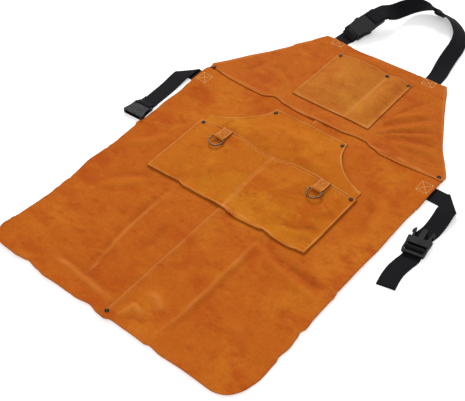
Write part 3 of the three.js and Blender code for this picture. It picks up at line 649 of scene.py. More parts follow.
def add_chest_pocket():
    size = sizes()
    look = leather("chest_suede", colours().chest)
    panel = Panel("chest_pocket_leather", "chest_pocket", size.pocket_leather, look)
    taper = 0.003

    def half(y):
        return CHEST_HIGH.x - taper * (y - CHEST_LOW.y) / (CHEST_HIGH.y - CHEST_LOW.y)

    def edge(x, y):
        return min(half(y) - abs(x), y - CHEST_LOW.y)

    panel.rolled = edge
    panel.folds = CHEST_FOLDS
    panel.shift = lambda x, y: (x + 0.0012 * wave(x, y, 12, 5.1), y + 0.0014 * wave(x, y, 10, 6.1))
    panel.worn = lambda x, y: 0.5 * hump(x - CHEST_DIVISION_X, 0.0022)
    rows = rows_between(CHEST_LOW.y, CHEST_HIGH.y, size.cell)
    panel.build(rows, lambda y: -half(y), half, round(2 * CHEST_HIGH.x / size.cell))
    PANELS["chest_pocket"] = panel


def hand_half(y):
    up = HAND_ARC.y - y
    if up >= HAND_ARC_RADIUS:
        return HAND_HIGH.x
    return min(HAND_HIGH.x, HAND_ARC.x - math.sqrt(HAND_ARC_RADIUS**2 - up * up))


def hand_edge(x, y):
    to_arc = abs(math.hypot(abs(x) - HAND_ARC.x, y - HAND_ARC.y) - HAND_ARC_RADIUS)
    return min(to_arc, HAND_HIGH.y - y + 0.0012)


def add_hand_pocket():
    size = sizes()
    look = leather("hand_suede", colours().pocket)
    panel = Panel("hand_pocket_leather", "hand_pocket", size.pocket_leather, look)
    panel.rolled = hand_edge
    panel.folds = HAND_FOLDS
    steep = [HAND_ARC.y - HAND_ARC_RADIUS * math.cos(t) for t in spread(0.13, 1.2, 26)]
    rows = rows_between(HAND_LOW.y, steep[0] - size.cell / 2, size.cell, fine_high=False)
    rows += steep + rows_between(steep[-1] + 0.004, HAND_HIGH.y, size.cell, fine_low=False)
    panel.build(rows, lambda y: -hand_half(y), hand_half, round(1.6 * HAND_HIGH.x / size.cell))
    tall = HAND_HIGH.y - HAND_LOW.y
    area = sum(2 * hand_half(y) for y in spread(HAND_LOW.y, HAND_HIGH.y, 90)) / 91 * tall
    PANELS["hand_pocket"] = panel


def add_lap_pocket():
    size = sizes()
    look = leather("lap_suede", colours().pocket)
    panel = Panel("lap_pocket_leather", "lap_pocket", size.pocket_leather, look)
    panel.rolled = lambda x, y: min(LAP_HIGH.x - abs(x), y - LAP_LOW.y, LAP_HIGH.y - y)
    panel.folds = LAP_FOLDS

    def shift(x, y):
        low = 1 - smooth(LAP_LOW.y, LAP_LOW.y + 0.05, y)
        high = smooth(LAP_HIGH.y - 0.05, LAP_HIGH.y, y)
        foot = read_edge(LAP_FOOT_EDGE, x / MM) * low
        dip = -0.010 * hump(x + 0.024, 0.050) * high
        rise = (y - LAP_LOW.y) / (LAP_HIGH.y - LAP_LOW.y)
        bow = -0.0055 * math.sin(math.pi * rise) * hump(x, 0.06)
        return x + bow + 0.0010 * wave(x, y, 12, 7.1), y + foot + dip

    def rubbed_division(x, y):
        foot = 1 - smooth(0.0, 0.05, y - LAP_LOW.y)
        return (0.30 + 0.5 * foot + 0.3 * wave(x, y, 22, 5.2)) * hump(x, 0.0024)

    panel.shift = shift
    panel.worn = rubbed_division
    rows = rows_between(LAP_LOW.y, LAP_HIGH.y, size.cell)
    panel.build(rows, lambda y: LAP_LOW.x, lambda y: LAP_HIGH.x, round(2 * LAP_HIGH.x / size.cell))
    PANELS["lap_pocket"] = panel


# ---- thread ----


def stitch_mesh(points, faces, start, end, up, radius):
    """One stitch: a short rounded run of thread that dips into the leather at both ends."""
    way = end - start
    side = way.cross(up).normalized()
    first = len(points)
    rings = [(0.0, 0.55, -0.9), (0.12, 0.85, -0.1), (0.5, 1.0, 0.35), (0.88, 0.85, -0.1), (1.0, 0.55, -0.9)]
    around = 6
    for share, wide, high in rings:
        centre = start + way * share + up * (high * radius)
        for k in range(around):
            angle = 2 * math.pi * k / around
            turn = side * math.cos(angle) + up * math.sin(angle)
            points.append(centre + turn * (radius * wide))
    for r in range(len(rings) - 1):
        for k in range(around):
            a = first + r * around + k
            b = first + r * around + (k + 1) % around
            faces.append((a, b, b + around, a + around))
    last = first + (len(rings) - 1) * around
    faces.append(tuple(first + k for k in reversed(range(around))))
    faces.append(tuple(last + k for k in range(around)))


def sew(name, lines, height, look=None, heavy=1.0):
    """Stitches along lines of (x, y) places. height(x, y) is the leather they lie on."""
    size = sizes()
    radius = size.thread / 2 * heavy
    points, faces = [], []
    for line in lines:
        for start, end in zip(line, line[1:]):
            start, end = Vector(start), Vector(end)
            count = max(1, round((end - start).length / size.stitch_pitch))
            for i in range(count):
                gap = 0.5 * (1 - size.stitch / size.stitch_pitch)
                a = start.lerp(end, (i + gap) / count)
                b = start.lerp(end, (i + 1 - gap) / count)
                za, zb = height(a.x, a.y), height(b.x, b.y)
                if za is None or zb is None:
                    continue
                lift = Vector((0, 0, size.thread * 0.18))
                first = Vector((a.x, a.y, za)) + lift
                last = Vector((b.x, b.y, zb)) + lift
                stitch_mesh(points, faces, first, last, Vector((0, 0, 1)), radius)
    return new_mesh(name, points, faces, look or thread_look())


def line_along(function, start, end, count):
    return [function(mix(start, end, i / count)) for i in range(count + 1)]


def boxed_cross(centre, half_x, half_y):
    """A box with a cross in it, as strap ends are sewn."""
    x, y = centre.x, centre.y
    corners = [(x + a * half_x, y + b * half_y) for a, b in ((-1, -1), (1, -1), (1, 1), (-1, 1))]
    return [corners + corners[:1], corners[::2], corners[1::2]]


def add_stitching():
    bib, chest = PANELS["bib"], PANELS["chest_pocket"]
    lap, hand = PANELS["lap_pocket"], PANELS["hand_pocket"]
    right = PANELS["skirt_right"]
    inset = sizes().roll_width * 0.62

    def along_waist(x):
        return bib_shift(x, BIB_LOW.y + inset)

    waist = line_along(along_waist, -0.290, 0.290, 116)
    sew("waist_seam_thread", [waist], bib.top)

    half = CHEST_HIGH.x - inset
    low, high = CHEST_LOW.y + inset, CHEST_HIGH.y - 0.012
    sides = [[(-half, high), (-half, low), (half, low), (half, high)]]
    divider = [[(CHEST_DIVISION_X, high), (CHEST_DIVISION_X, CHEST_LOW.y + 0.006)]]
    mouth = [[(-half + 0.004, CHEST_HIGH.y - inset), (half - 0.004, CHEST_HIGH.y - inset)]]
    sew("chest_pocket_thread", finely(sides + divider + mouth), chest.top)

    half = LAP_HIGH.x - inset
    low, high = LAP_LOW.y + inset, LAP_HIGH.y - 0.014
    foot = line_along(lambda x: lap.shift(x, low), -half, half, 80)
    sides = finely([[(-half, high), (-half, low)], [(half, low), (half, high)]])
    divider = [[lap.shift(0, y) for y in spread(high - 0.006, low, 40)]]
    mouth = [
        line_along(lambda x: lap.shift(x, LAP_HIGH.y - down), -half + 0.014, half - 0.014, 76)
        for down in (inset, 0.0095)
    ]
    sew("lap_pocket_thread", [foot] + sides + divider + mouth, lap.top)

    def arc(side):
        places = []
        for t in spread(0.16, 1.36, 40):
            reach = HAND_ARC_RADIUS + inset
            x = HAND_ARC.x - reach * math.sin(t)
            y = HAND_ARC.y - reach * math.cos(t)
            places.append((side * x, y))
        return places

    mouth = [(-0.082, HAND_HIGH.y - inset), (0.082, HAND_HIGH.y - inset)]
    sew("hand_pocket_thread", [arc(-1), arc(1)] + finely([mouth]), hand.top)

    def seam(x):
        bottom = [(x, y) for y in spread(HEM_Y + 0.016, LAP_LOW.y - 0.004, 66)]
        top = [(x, y) for y in spread(HAND_HIGH.y + 0.004, BIB_LOW.y - 0.003, 3)]
        return [bottom, top]

    sew("centre_seam_thread", seam(-0.0042) + seam(0.0044), right.top, dyed_thread_look(), 0.8)

    for side, name in ((-1, "left"), (1, "right")):
        skirt, look = PANELS[f"skirt_{name}"], bar_thread_look()
        waist_box = finely(boxed_cross(mm(side * 287, 620), 0.0125, 0.0135))
        sew(f"waist_strap_thread_{name}", waist_box, skirt.top, look, 1.5)
        neck_box = finely(boxed_cross(mm(side * 121, 899), 0.0140, 0.0100))
        sew(f"neck_strap_thread_{name}", neck_box, bib.top, look, 1.5)


def finely(lines):
    """Breaks long straight lines up so that stitches follow the leather."""
    pitch = sizes().stitch_pitch
    fine = []
    for line in lines:
        out = [line[0]]
        for a, b in zip(line, line[1:]):
            span = math.hypot(b[0] - a[0], b[1] - a[1])
            count = max(1, round(span / pitch))
            shares = [i / count for i in range(1, count + 1)]
            out += [(mix(a[0], b[0], t), mix(a[1], b[1], t)) for t in shares]
        fine.append(out)
    return fine


# ---- rivets, rings and tool loops ----


def lathe(name, profile, centre, around, material, body):
    """A turned piece on an upright axis. The profile is closed and runs from axis to axis."""
    points = [Vector((centre.x, centre.y, profile[0][1]))]
    for radius, z in profile[1:-1]:
        for k in range(around):
            angle = 2 * math.pi * k / around
            x, y = centre.x + radius * math.cos(angle), centre.y + radius * math.sin(angle)
            points.append(Vector((x, y, z)))
    points.append(Vector((centre.x, centre.y, profile[-1][1])))
    faces = []
    rings = len(profile) - 2
    last = len(points) - 1
    for k in range(around):
        m = (k + 1) % around
        faces.append((0, 1 + m, 1 + k))
        for r in range(rings - 1):
            a, b = 1 + r * around + k, 1 + r * around + m
            faces.append((a, b, b + around, a + around))
        faces.append((last, 1 + (rings - 1) * around + k, 1 + (rings - 1) * around + m))
    return new_mesh(name, points, faces, material, body)


RIVETED = {
    "rivet_hem": "skirt_right", "rivet_waist_left": "bib", "rivet_waist_right": "bib",
    "rivet_hand_left": "hand_pocket", "rivet_hand_right": "hand_pocket",
    "rivet_lap_left": "lap_pocket", "rivet_lap_right": "lap_pocket",
    "rivet_chest_left": "chest_pocket", "rivet_chest_middle": "chest_pocket",
    "rivet_chest_right": "chest_pocket",
}


def add_rivets():
    """Tubular rivets: a cap with a rolled rim and a deep eye, and a flat foot below."""
    look = metal_look("bronzed_rivet", colours().metal, 0.36)
    radius = sizes().cap / 2
    for node, carrier in RIVETED.items():
        low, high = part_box(node)
        centre = (low + high) / 2
        seat = PANELS[carrier].top(centre.x, centre.y)
        cap = [
            (0.0, 0.0018), (0.16, 0.0019), (0.30, 0.0022), (0.38, 0.0034), (0.46, 0.0036), (0.62, 0.0034),
            (0.80, 0.0027), (0.92, 0.0018), (0.99, 0.0010), (1.0, 0.0004), (0.96, 0.0), (0.42, 0.0),
        ]
        pressed, flatter = 0.0004, 0.72
        upper = [(share * radius, seat + (z - pressed) * flatter) for share, z in cap]
        shank = [(0.42 * radius, low.z + 0.001), (0.88 * radius, low.z + 0.001), (0.90 * radius, low.z)]
        profile = list(reversed(upper + shank + [(0.0, low.z)]))
        piece = lathe(f"{node}_cap", profile, centre, 28, look, "apron")
        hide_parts(node)


def ring_outline(half, drop, corner, count):
    """The line of a D-ring's wire, from the middle of its bar."""
    deep = drop - half
    outline = [Vector((x, 0, 0)) for x in spread(0, half - corner, 4)]
    for t in spread(0, math.pi / 2, 5)[1:]:
        outline.append(Vector((half - corner + corner * math.sin(t), -corner * (1 - math.cos(t)), 0)))
    for t in spread(0, math.pi, count):
        outline.append(Vector((half * math.cos(t), -deep - half * math.sin(t), 0)))
    mirrored = [Vector((-p.x, p.y, 0)) for p in reversed(outline[1:10])]
    return outline + mirrored


def closed_tube(name, line, radius, around, material, body):
    points, faces = [], []
    count = len(line)
    for i, here in enumerate(line):
        ahead = (line[(i + 1) % count] - line[i - 1]).normalized()
        out = Vector((ahead.y, -ahead.x, 0))
        for k in range(around):
            angle = 2 * math.pi * k / around
            rise = Vector((0, 0, radius * math.sin(angle)))
            points.append(here + out * (radius * math.cos(angle)) + rise)
    for i in range(count):
        for k in range(around):
            a, b = i * around + k, i * around + (k + 1) % around
            c = ((i + 1) % count) * around + (k + 1) % around
            d = ((i + 1) % count) * around + k
            faces.append((a, d, c, b))
    return new_mesh(name, points, faces, material, body)


def add_rings():
    look = metal_look("bronzed_ring", colours().ring, 0.34)
    radius = sizes().wire / 2
    for side in ("left", "right"):
        low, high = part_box(f"d_ring_{side}")
        half = (high.x - low.x) / 2 - radius
        drop = high.y - low.y - 2 * radius
        line = ring_outline(half, drop, 0.003, 22)
        centre = Vector(((low.x + high.x) / 2, high.y - radius, (low.z + high.z) / 2))
        line = [p + centre for p in line]
        piece = closed_tube(f"d_ring_wire_{side}", line, radius, 14, look, f"ring_{side}")
        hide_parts(f"d_ring_{side}")


def loop_profile(low, high, reach, thick):
    """The side view of a tool loop: sewn legs, and an eye folded round the ring's bar."""
    outer = (high - low) / 2
    eye = outer - thick
    upper, inner = [], []
    for t in spread(0, 1, 18):
        angle = math.radians(mix(62, 270, t))
        upper.append((outer * math.cos(angle), outer + outer * math.sin(angle)))
        inner.append((eye * math.cos(angle), outer + eye * math.sin(angle)))
    legs_top = [(reach, 2 * thick), (reach * 0.6, 2 * thick + 0.0003), (0.010, 2 * thick + 0.0002)]
    legs_low = [(0.010, 0.0), (reach * 0.6, 0.0), (reach, 0.0)]
    middle_up = [(0.0060, thick + 0.0001), (reach, thick + 0.0001)]
    middle_low = [(reach, thick - 0.0001), (0.0060, thick - 0.0001)]
    return legs_top + upper + legs_low + middle_low + list(reversed(inner)) + middle_up


def add_tool_loops():
    """Leather strips, each folded through a ring's bar and sewn to the lap pocket."""
    look = leather("loop_suede", colours().chest)
    for side in ("left", "right"):
        low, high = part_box(f"tool_loop_{side}")
        thick = sizes().pocket_leather
        outer = (high.z - low.z) / 2
        outline = loop_profile(low.z, high.z, high.y - low.y - outer, thick)
        stations = columns(low.x, high.x, 6, 0.6)
        points, worn, edges = [], [], []
        for i, x in enumerate(stations):
            rim = min(x - low.x, high.x - x)
            tuck = 0.00025 * (1 - smooth(0, 0.0016, rim))
            for v, z in outline:
                y = low.y + outer + v
                points.append(Vector((x, y, low.z + z + (tuck if z < outer else -tuck))))
                worn.append(0.7 * (1 - smooth(0.0005, 0.0035, rim)))
                edges.append(1.0 if i in (0, len(stations) - 1) else 0.0)
        count = len(outline)
        last = (len(stations) - 1) * count
        faces = [tuple(range(count)), tuple(last + k for k in reversed(range(count)))]
        for i in range(len(stations) - 1):
            for k in range(count):
                a, b = i * count + k, i * count + (k + 1) % count
                faces.append((a, a + count, b + count, b))
        piece = new_mesh(f"tool_loop_leather_{side}", points, faces, look)
        point_values(piece, "worn", worn)
        point_values(piece, "edge", edges)
        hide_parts(f"tool_loop_{side}")
        tree = tree_of(piece)

        def top(x, y, tree=tree):
            return height_over(tree, x, y)

        box_low, box_high = low.y + 0.013, high.y - 0.004
        left, right = low.x + 0.0030, high.x - 0.0030
        box = [(left, box_low), (right, box_low), (right, box_high), (left, box_high), (left, box_low)]
        cross = [[(left, box_low), (right, box_high)], [(right, box_low), (left, box_high)]]
        sew(f"tool_loop_thread_{side}", finely([box, *cross]), top)


# ---- webbing ----


class Axes:
    """A local frame: u along a buckle, v across it, w out of its front."""

    def __init__(self, origin, u, v):
        self.origin = origin
        self.u = u.normalized()
        self.w = self.u.cross(v).normalized()
        self.v = self.w.cross(self.u).normalized()

    def point(self, a, b, c):
        return self.origin + (self.u * a + self.v * b + self.w * c) * MM

    def stations(self, places, turned=1):
        return [(self.point(a, 0, c), self.v * turned) for a, c in places]


NECK_AXIS, NECK_ACROSS = Vector((0.3, 0.92, 0.25)), Vector((-0.95, 0.3, 0.12))
NECK_SOCKET = Axes(mm(-113, 935, 10.2), NECK_AXIS, NECK_ACROSS)
NECK_PLUG = Axes(NECK_SOCKET.point(83.3, 0, 0), NECK_AXIS, NECK_ACROSS)
WAIST_SOCKET = Axes(mm(-333, 472, 5.7), Vector((0.03, -1, 0)), Vector((1, 0.03, 0)))
PLUG_TURN = math.radians(10)
WAIST_PLUG = Axes(
    mm(363, 457, 5.75),
    Vector((math.sin(PLUG_TURN), -math.cos(PLUG_TURN), 0)),
    Vector((math.cos(PLUG_TURN), math.sin(PLUG_TURN), 0)),
)
WEB_FLOOR = 0.95
STRAP_Y = 620
NECK_X = 122

# The neck webbing's line from the plug to the bib: centre points and roll in degrees.
NECK_LINE = [
    (NECK_PLUG.point(10, 0, 0), 8), (mm(-69, 1046, 27.5), 32), (mm(-57, 1073, 25.5), 58),
    (mm(-40, 1098, 23.5), 86), (mm(-15, 1112, 21), 122), (mm(14, 1114, 17.5), 140),
    (mm(44, 1108, 16.5), 144), (mm(72, 1095, 14.5), 147), (mm(93, 1072, 12.5), 150),
    (mm(105, 1040, 11.5), 152), (mm(111, 998, 9.5), 160), (mm(116, 965, 6), 170),
    (mm(121, 938, 2.4), 178), (mm(NECK_X, 920, WEB_FLOOR + 0.15), 180),
    (mm(NECK_X, 902, WEB_FLOOR), 180), (mm(NECK_X, 884, WEB_FLOOR), 180),
]
SLIDER_SHARE = 5 / (len(NECK_LINE) - 1)


def along_line(line, t):
    """A point of the smooth curve through a line's points, at a share of the way."""
    place = t * (len(line) - 1)
    i = min(len(line) - 2, int(place))
    weight = place - i
    p1, p2 = line[i], line[i + 1]
    p0 = line[i - 1] if i > 0 else p1 * 2 - p2
    p3 = line[i + 2] if i + 2 < len(line) else p2 * 2 - p1
    d0, d1, d2 = (math.sqrt((b - a).length) for a, b in ((p0, p1), (p1, p2), (p2, p3)))
    m1 = ((p1 - p0) / d0 - (p2 - p0) / (d0 + d1) + (p2 - p1) / d1) * d1
    m2 = ((p2 - p1) / d1 - (p3 - p1) / (d1 + d2) + (p3 - p2) / d2) * d1
    w2, w3 = weight**2, weight**3
    early = p1 * (2 * w3 - 3 * w2 + 1) + m1 * (w3 - 2 * w2 + weight)
    return early + p2 * (3 * w2 - 2 * w3) + m2 * (w3 - w2)


def neck_axes(t):
    line = [p for p, _ in NECK_LINE]
    rolls = [roll for _, roll in NECK_LINE]
    ahead = along_line(line, min(1, t + 1e-4)) - along_line(line, max(0, t - 1e-4))
    ahead.normalize()
    place = t * (len(line) - 1)
    i = min(len(line) - 2, int(place))
    roll = math.radians(mix(rolls[i], rolls[i + 1], place - i))
    level = Vector((0, 0, 1)).cross(ahead).normalized()
    across = level * math.cos(roll) + ahead.cross(level) * math.sin(roll)
    return Axes(along_line(line, t), ahead, across)


SLIDER = neck_axes(SLIDER_SHARE)

# Stations round a socket's bar: millimetres along the socket and above it.
ROUND_SOCKET_BAR = [(2.4, -3.75), (5, -2.7), (6.15, 0), (5, 2.7), (2.4, 3.75)]

# Places across a waist strap's hidden end, in millimetres from the apron's middle.
SEWN_X = (269, 287, 306)


def rows_of(stations):
    """Turns stations (point, direction across) into rows that place a strap's own points."""
    rows = []
    for i, (here, across) in enumerate(stations):
        before = stations[max(0, i - 1)][0]
        after = stations[min(len(stations) - 1, i + 1)][0]
        ahead = (after - before).normalized()
        through = ahead.cross(across).normalized()
        rows.append((here, through.cross(ahead), through))
    return [lambda a, w, r=r: r[0] + r[1] * a + r[2] * w for r in rows]


class StrapFold:
    """Webbing folded back over itself on a diagonal."""

    def __init__(self, at, ahead, across, side, radius):
        self.at, self.side, self.radius = at, side, radius
        self.along = (ahead - across * side).normalized()
        self.outward = (ahead + across * side).normalized()

    def row(self, s):
        def place(a, w):
            q = (s + self.side * a) / math.sqrt(2)
            p = (s - self.side * a) / math.sqrt(2)
            angle = min(math.pi, max(0.0, q / self.radius))
            past = max(0.0, q - math.pi * self.radius)
            out = min(0.0, q) + (self.radius - w) * math.sin(angle) - past
            up = self.radius - (self.radius - w) * math.cos(angle)
            return self.at + self.along * p + self.outward * out + Vector((0, 0, up))

        return place

    def rows(self, start, end, count):
        return [self.row(s) for s in spread(start, end, count)]


def finer(rows, times=3):
    """Puts rows in between, on a smooth line through the given ones."""

    def between(k, weight):
        n = len(rows) - 1
        picked = [rows[max(0, min(n, k + d))] for d in (-1, 0, 1, 2)]

        def place(a, w):
            p0, p1, p2, p3 = (row(a, w) for row in picked)
            w2, w3 = weight**2, weight**3
            straight = p1 * 2 + (p2 - p0) * weight
            bend = (p0 * 2 - p1 * 5 + p2 * 4 - p3) * w2
            return 0.5 * (straight + bend + (p1 * 3 - p0 - p2 * 3 + p3) * w3)

        return place

    out = []
    for k in range(len(rows) - 1):
        out += [between(k, step / times) for step in range(times)]
    return out + [rows[-1]]


def band(name, rows, body="apron"):
    """A piece of webbing: rounded selvedges, and a slightly dished face between them."""
    size = sizes()
    half, thick = size.web_width / 2, size.web_thick
    near = [0.25, 0.5, 0.7, 0.86, 0.93, 0.985, 1.0]
    across = [-share for share in reversed(near)] + [0.0] + near
    section = []
    for share in across:
        edge = abs(share)
        full = 0.42 if edge > 0.99 else 0.80 if edge > 0.97 else 1.0 if edge > 0.85 else 0.92
        section.append((share * half, 0.5 * thick * full))
    loop = section + [(a, -w) for a, w in reversed(section)]
    points, along, over = [], [], []
    run, last = 0.0, None
    for row in rows:
        middle = row(0, 0)
        run += (middle - last).length if last else 0.0
        last = middle
        for a, w in loop:
            points.append(row(a, w))
            along.append(run)
            over.append(a)
    count = len(loop)
    faces = [tuple(reversed(range(count)))]
    for r in range(len(rows) - 1):
        for k in range(count):
            a, b = r * count + k, r * count + (k + 1) % count
            faces.append((a, b, b + count, a + count))
    faces.append(tuple((len(rows) - 1) * count + k for k in range(count)))
    piece = new_mesh(name, points, faces, webbing_look(), body)
    mesh_outward(piece)
    point_values(piece, "along", along)
    point_values(piece, "over", over)
    return piece


def mesh_outward(piece):
    """Turns a closed mesh's faces outward."""
    mesh = bmesh.new()
    mesh.from_mesh(piece.data)
    bmesh.ops.recalc_face_normals(mesh, faces=mesh.faces)
    mesh.to_mesh(piece.data)
    mesh.free()


def neck_layer(start, end, count, offset):
    """Stations of one layer of the neck strap, offset(share, t) millimetres off its line."""
    stations = []
    for t in spread(start, end, count):
        axes = neck_axes(t)
        share = (SLIDER_SHARE - t) / SLIDER_SHARE
        stations.append((axes.point(0, 0, offset(share, t)), axes.v))
    return stations


def add_neck_webbing():
    """Three lengths of one strap, cut at the slider and at the plug."""
    sewn = [(mm(-NECK_X, y, WEB_FLOOR), Vector((-1, 0, 0))) for y in (884, 899, 914)]
    turning = [(mm(-NECK_X + 1.6, 921.5, 1.7), Vector((-0.97, 0.26, 0)))]
    into = NECK_SOCKET.stations(
        [(-6, -3.4), (-1, -3.85), *ROUND_SOCKET_BAR, (-1, 3.5), (-5, 1.4), (-9, -0.2)]
    )
    left = band("neck_webbing_left", finer(rows_of(sewn + turning + into)))
    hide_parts("neck_strap_left")

    last, first = SLIDER_SHARE + 0.06, SLIDER_SHARE - 0.06
    to_slider = neck_layer(1, last, 30, lambda share, t: -3.25 * (1 - smooth(last, last + 0.1, t)))
    climb = [
        (16.5, -3.25), (13.5, -3.15), (10.6, -2.95), (8, -2.5), (7, 0.8), (6.1, 3.7), (3.6, 5.3), (0, 5.4),
    ]
    over_slider = climb + [(-a, c) for a, c in reversed(climb[:-1])]
    front = neck_layer(first, 0.012, 20, lambda share, t: -3.25 + 7 * share**4)
    inward = [(1, 3.8), (-6, 3.8), (-12, 3.7), (-17.8, 3.5), (-21.8, 3.1), (-23.6, 1.8)]
    outward = [(a, -c) for a, c in reversed(inward)]
    round_bar = NECK_PLUG.stations([*inward, (-24.1, 0), *outward])
    back = neck_layer(0.012, first, 20, lambda share, t: -5.6 + 1.8 * share**2)
    end = SLIDER.stations(
        [
            (-16.5, -5.6), (-8, -5.4), (-4.8, -4.7), (-3.5, -2.8), (-3.5, 1.3), (-2.5, 2.9), (0, 3.1),
            (2.5, 2.9), (3.5, 1.3), (3.5, -1.6), (2.5, -3.1), (0.2, -3.3),
        ]
    )
    stations = to_slider + SLIDER.stations(over_slider) + front + round_bar + back + end
    rows = finer(rows_of(stations), 2)
    leading = len(to_slider) + len(over_slider)
    past_slider = 2 * leading + 1
    split_front = 2 * (leading + round(0.3 * len(front)))
    split_back = 2 * (leading + len(front) + len(round_bar) + round(0.7 * len(back)))
    bib_side = band("neck_webbing_bib", rows[: past_slider + 1], None)
    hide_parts("neck_strap_right")
    SLIDER.point(62, 0, 0)
    SLIDER.point(20, 0, 0)
    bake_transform(bib_side)
    for name, part in (("front", rows[past_slider : split_front + 1]), ("tail", rows[split_back:])):
        piece = band(f"neck_webbing_{name}", part, None)
        start = part[0 if name == "tail" else -1](0, 0)
        SLIDER.point(-17, 0, 0)
        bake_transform(piece)
    plug_side = band("neck_webbing_plug", rows[split_front : split_back + 1], None)
    start = (rows[split_front](0, 0) + rows[split_back](0, 0)) / 2
    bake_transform(plug_side)


def add_waist_webbing():
    """Each strap folds down beside the apron and runs to its half of the buckle."""
    floor = WEB_FLOOR
    radius = 2.2
    shift = math.pi * radius / math.sqrt(2)
    at = mm(-336 + shift, STRAP_Y, floor)
    fold = StrapFold(at, Vector((-1, 0, 0)), Vector((0, -1, 0)), -1, radius * MM)
    start = [fold.row(at.x + x * MM) for x in SEWN_X]
    turn = fold.rows(-0.020, 0.030, 40)
    top = floor + 2 * radius
    level = STRAP_Y + shift
    run = [
        mm(-336, level - 30, top), mm(-336, level - 36, top), mm(-335.6, 572, 3.6), mm(-335, 552, 1.6),
        mm(-334.4, 528, 1), mm(-333.8, 500, 1), mm(-333.4, 488, 1),
    ]
    across = Vector((-1, 0, 0))
    loop = WAIST_SOCKET.stations(
        [(-8, -4.5), (-2, -4), *ROUND_SOCKET_BAR, (-1, 3.6), (-6, 1), (-12, -2), (-24, -2.3)],
        turned=-1,
    )
    rest = finer(rows_of([(p, across) for p in run] + loop))
    left = band("waist_webbing_left", start + turn + rest[1:])
    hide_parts("waist_strap_left")

    radius = 5
    shift = math.pi * radius / math.sqrt(2)
    at = mm(357 - shift, STRAP_Y - 3, floor)
    fold = StrapFold(at, Vector((1, 0, 0)), Vector((0, 1, 0)), 1, radius * MM)
    start = [fold.row(x * MM - at.x) for x in SEWN_X]
    turn = fold.rows(-0.020, 0.042, 46)
    top = floor + 2 * radius
    level = STRAP_Y - 3 + shift
    run = [
        mm(357, level - 42, top), mm(357.5, level - 48, top), mm(358.5, 570, 9), mm(359.5, 552, 5.5),
        mm(359, 532, 2.2), mm(356.5, 518, 1.05),
    ]
    thread = WAIST_PLUG.stations(
        [
            (-50, -4.75), (-38, -4.75), (-28, -4.75), (-24, -4.1), (-21.2, -1.5), (-20.2, 1.2),
            (-19, 3.2), (-16, 3.85), (-13, 3.2), (-11.8, 1.2), (-10.8, -1.5), (-8, -4.1), (-4, -4.75),
            (6, -4.75),
        ],
        turned=-1,
    )
    tail = [mm(361, 432, 0.95), mm(359, 410, 0.95), mm(361, 388, 0.95), mm(366, 365, 0.95)]
    stations = [(p, across) for p in run] + thread + [(p, across) for p in tail]
    rest = finer(rows_of(stations))
    cut = 3 * (len(run) + len(thread) - 1)
    main = band("waist_webbing_right", start + turn + rest[1 : cut + 1], None)
    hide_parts("waist_strap_right")
    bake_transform(main)
    end = band("waist_webbing_tail", rest[cut:], None)
    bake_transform(end)


# ---- buckles ----


def add_buckles():
    """The frame's own buckles, with their edges eased and a moulded finish."""
    look = plastic_look()
    for node in sorted(NODES):
        if not any(word in node for word in ("socket", "plug", "_arm_", "slider")):
            continue
        piece = NODES[node]
        piece.data.materials.clear()
        piece.data.materials.append(look)
        weld = piece.modifiers.new("weld", "WELD")
        weld.merge_threshold = 0.00002
        bevel = piece.modifiers.new("eased_edges", "BEVEL")
        bevel.width = 0.00045
        bevel.segments = 2
        bevel.limit_method = "ANGLE"
        bevel.angle_limit = math.radians(32)
        bevel.use_clamp_overlap = True


# ---- materials ----


class Graph:
    """Short ways to add and join shader nodes."""

    def __init__(self, tree):
        self.tree = tree

    def add(self, kind, **settings):
        node = self.tree.nodes.new(kind)
        for key, value in settings.items():
            setattr(node, key, value)
        return node

    def feed(self, value, socket):
        if isinstance(value, bpy.types.NodeSocket):
            self.tree.links.new(value, socket)
        else:
            socket.default_value = value

    def math(self, operation, a, b=0.0, clamp=False):
        node = self.add("ShaderNodeMath", operation=operation, use_clamp=clamp)
        self.feed(a, node.inputs[0])
        self.feed(b, node.inputs[1])
        return node.outputs[0]

    def blend(self, factor, a, b, kind="MIX"):
        node = self.add("ShaderNodeMix", data_type="RGBA", blend_type=kind)
        self.feed(factor, node.inputs[0])
        self.feed(a, node.inputs[6])
        self.feed(b, node.inputs[7])
        return node.outputs[2]

    def noise(self, place, scale, detail=3.0, rough=0.5):
        node = self.add("ShaderNodeTexNoise")
        self.feed(place, node.inputs["Vector"])
        self.feed(scale, node.inputs["Scale"])
        node.inputs["Detail"].default_value = detail
        node.inputs["Roughness"].default_value = rough
        return node.outputs["Fac"]

    def ramp(self, value, start, end):
        node = self.add("ShaderNodeMapRange", interpolation_type="SMOOTHSTEP")
        self.feed(value, node.inputs["Value"])
        node.inputs["From Min"].default_value = start
        node.inputs["From Max"].default_value = end
        return node.outputs["Result"]

    def place(self):
        return self.add("ShaderNodeTexCoord").outputs["Object"]

    def stretch(self, place, scale):
        node = self.add("ShaderNodeMapping")
        self.feed(place, node.inputs["Vector"])
        node.inputs["Scale"].default_value = scale
        return node.outputs[0]

    def stored(self, name):
        return self.add("ShaderNodeAttribute", attribute_name=name).outputs["Fac"]


def group(name, inputs, outputs):
    """An empty node group with named sockets."""
    tree = bpy.data.node_groups.new(name, "ShaderNodeTree")
    for label, kind, default in inputs:
        socket = tree.interface.new_socket(label, in_out="INPUT", socket_type=kind)
        socket.default_value = default
    for label, kind in outputs:
        tree.interface.new_socket(label, in_out="OUTPUT", socket_type=kind)
    graph = Graph(tree)
    return graph, graph.add("NodeGroupInput").outputs, graph.add("NodeGroupOutput").inputs


COLOUR, NUMBER = "NodeSocketColor", "NodeSocketFloat"
FINISH = [("Color", COLOUR), ("Roughness", NUMBER), ("Height", NUMBER)]


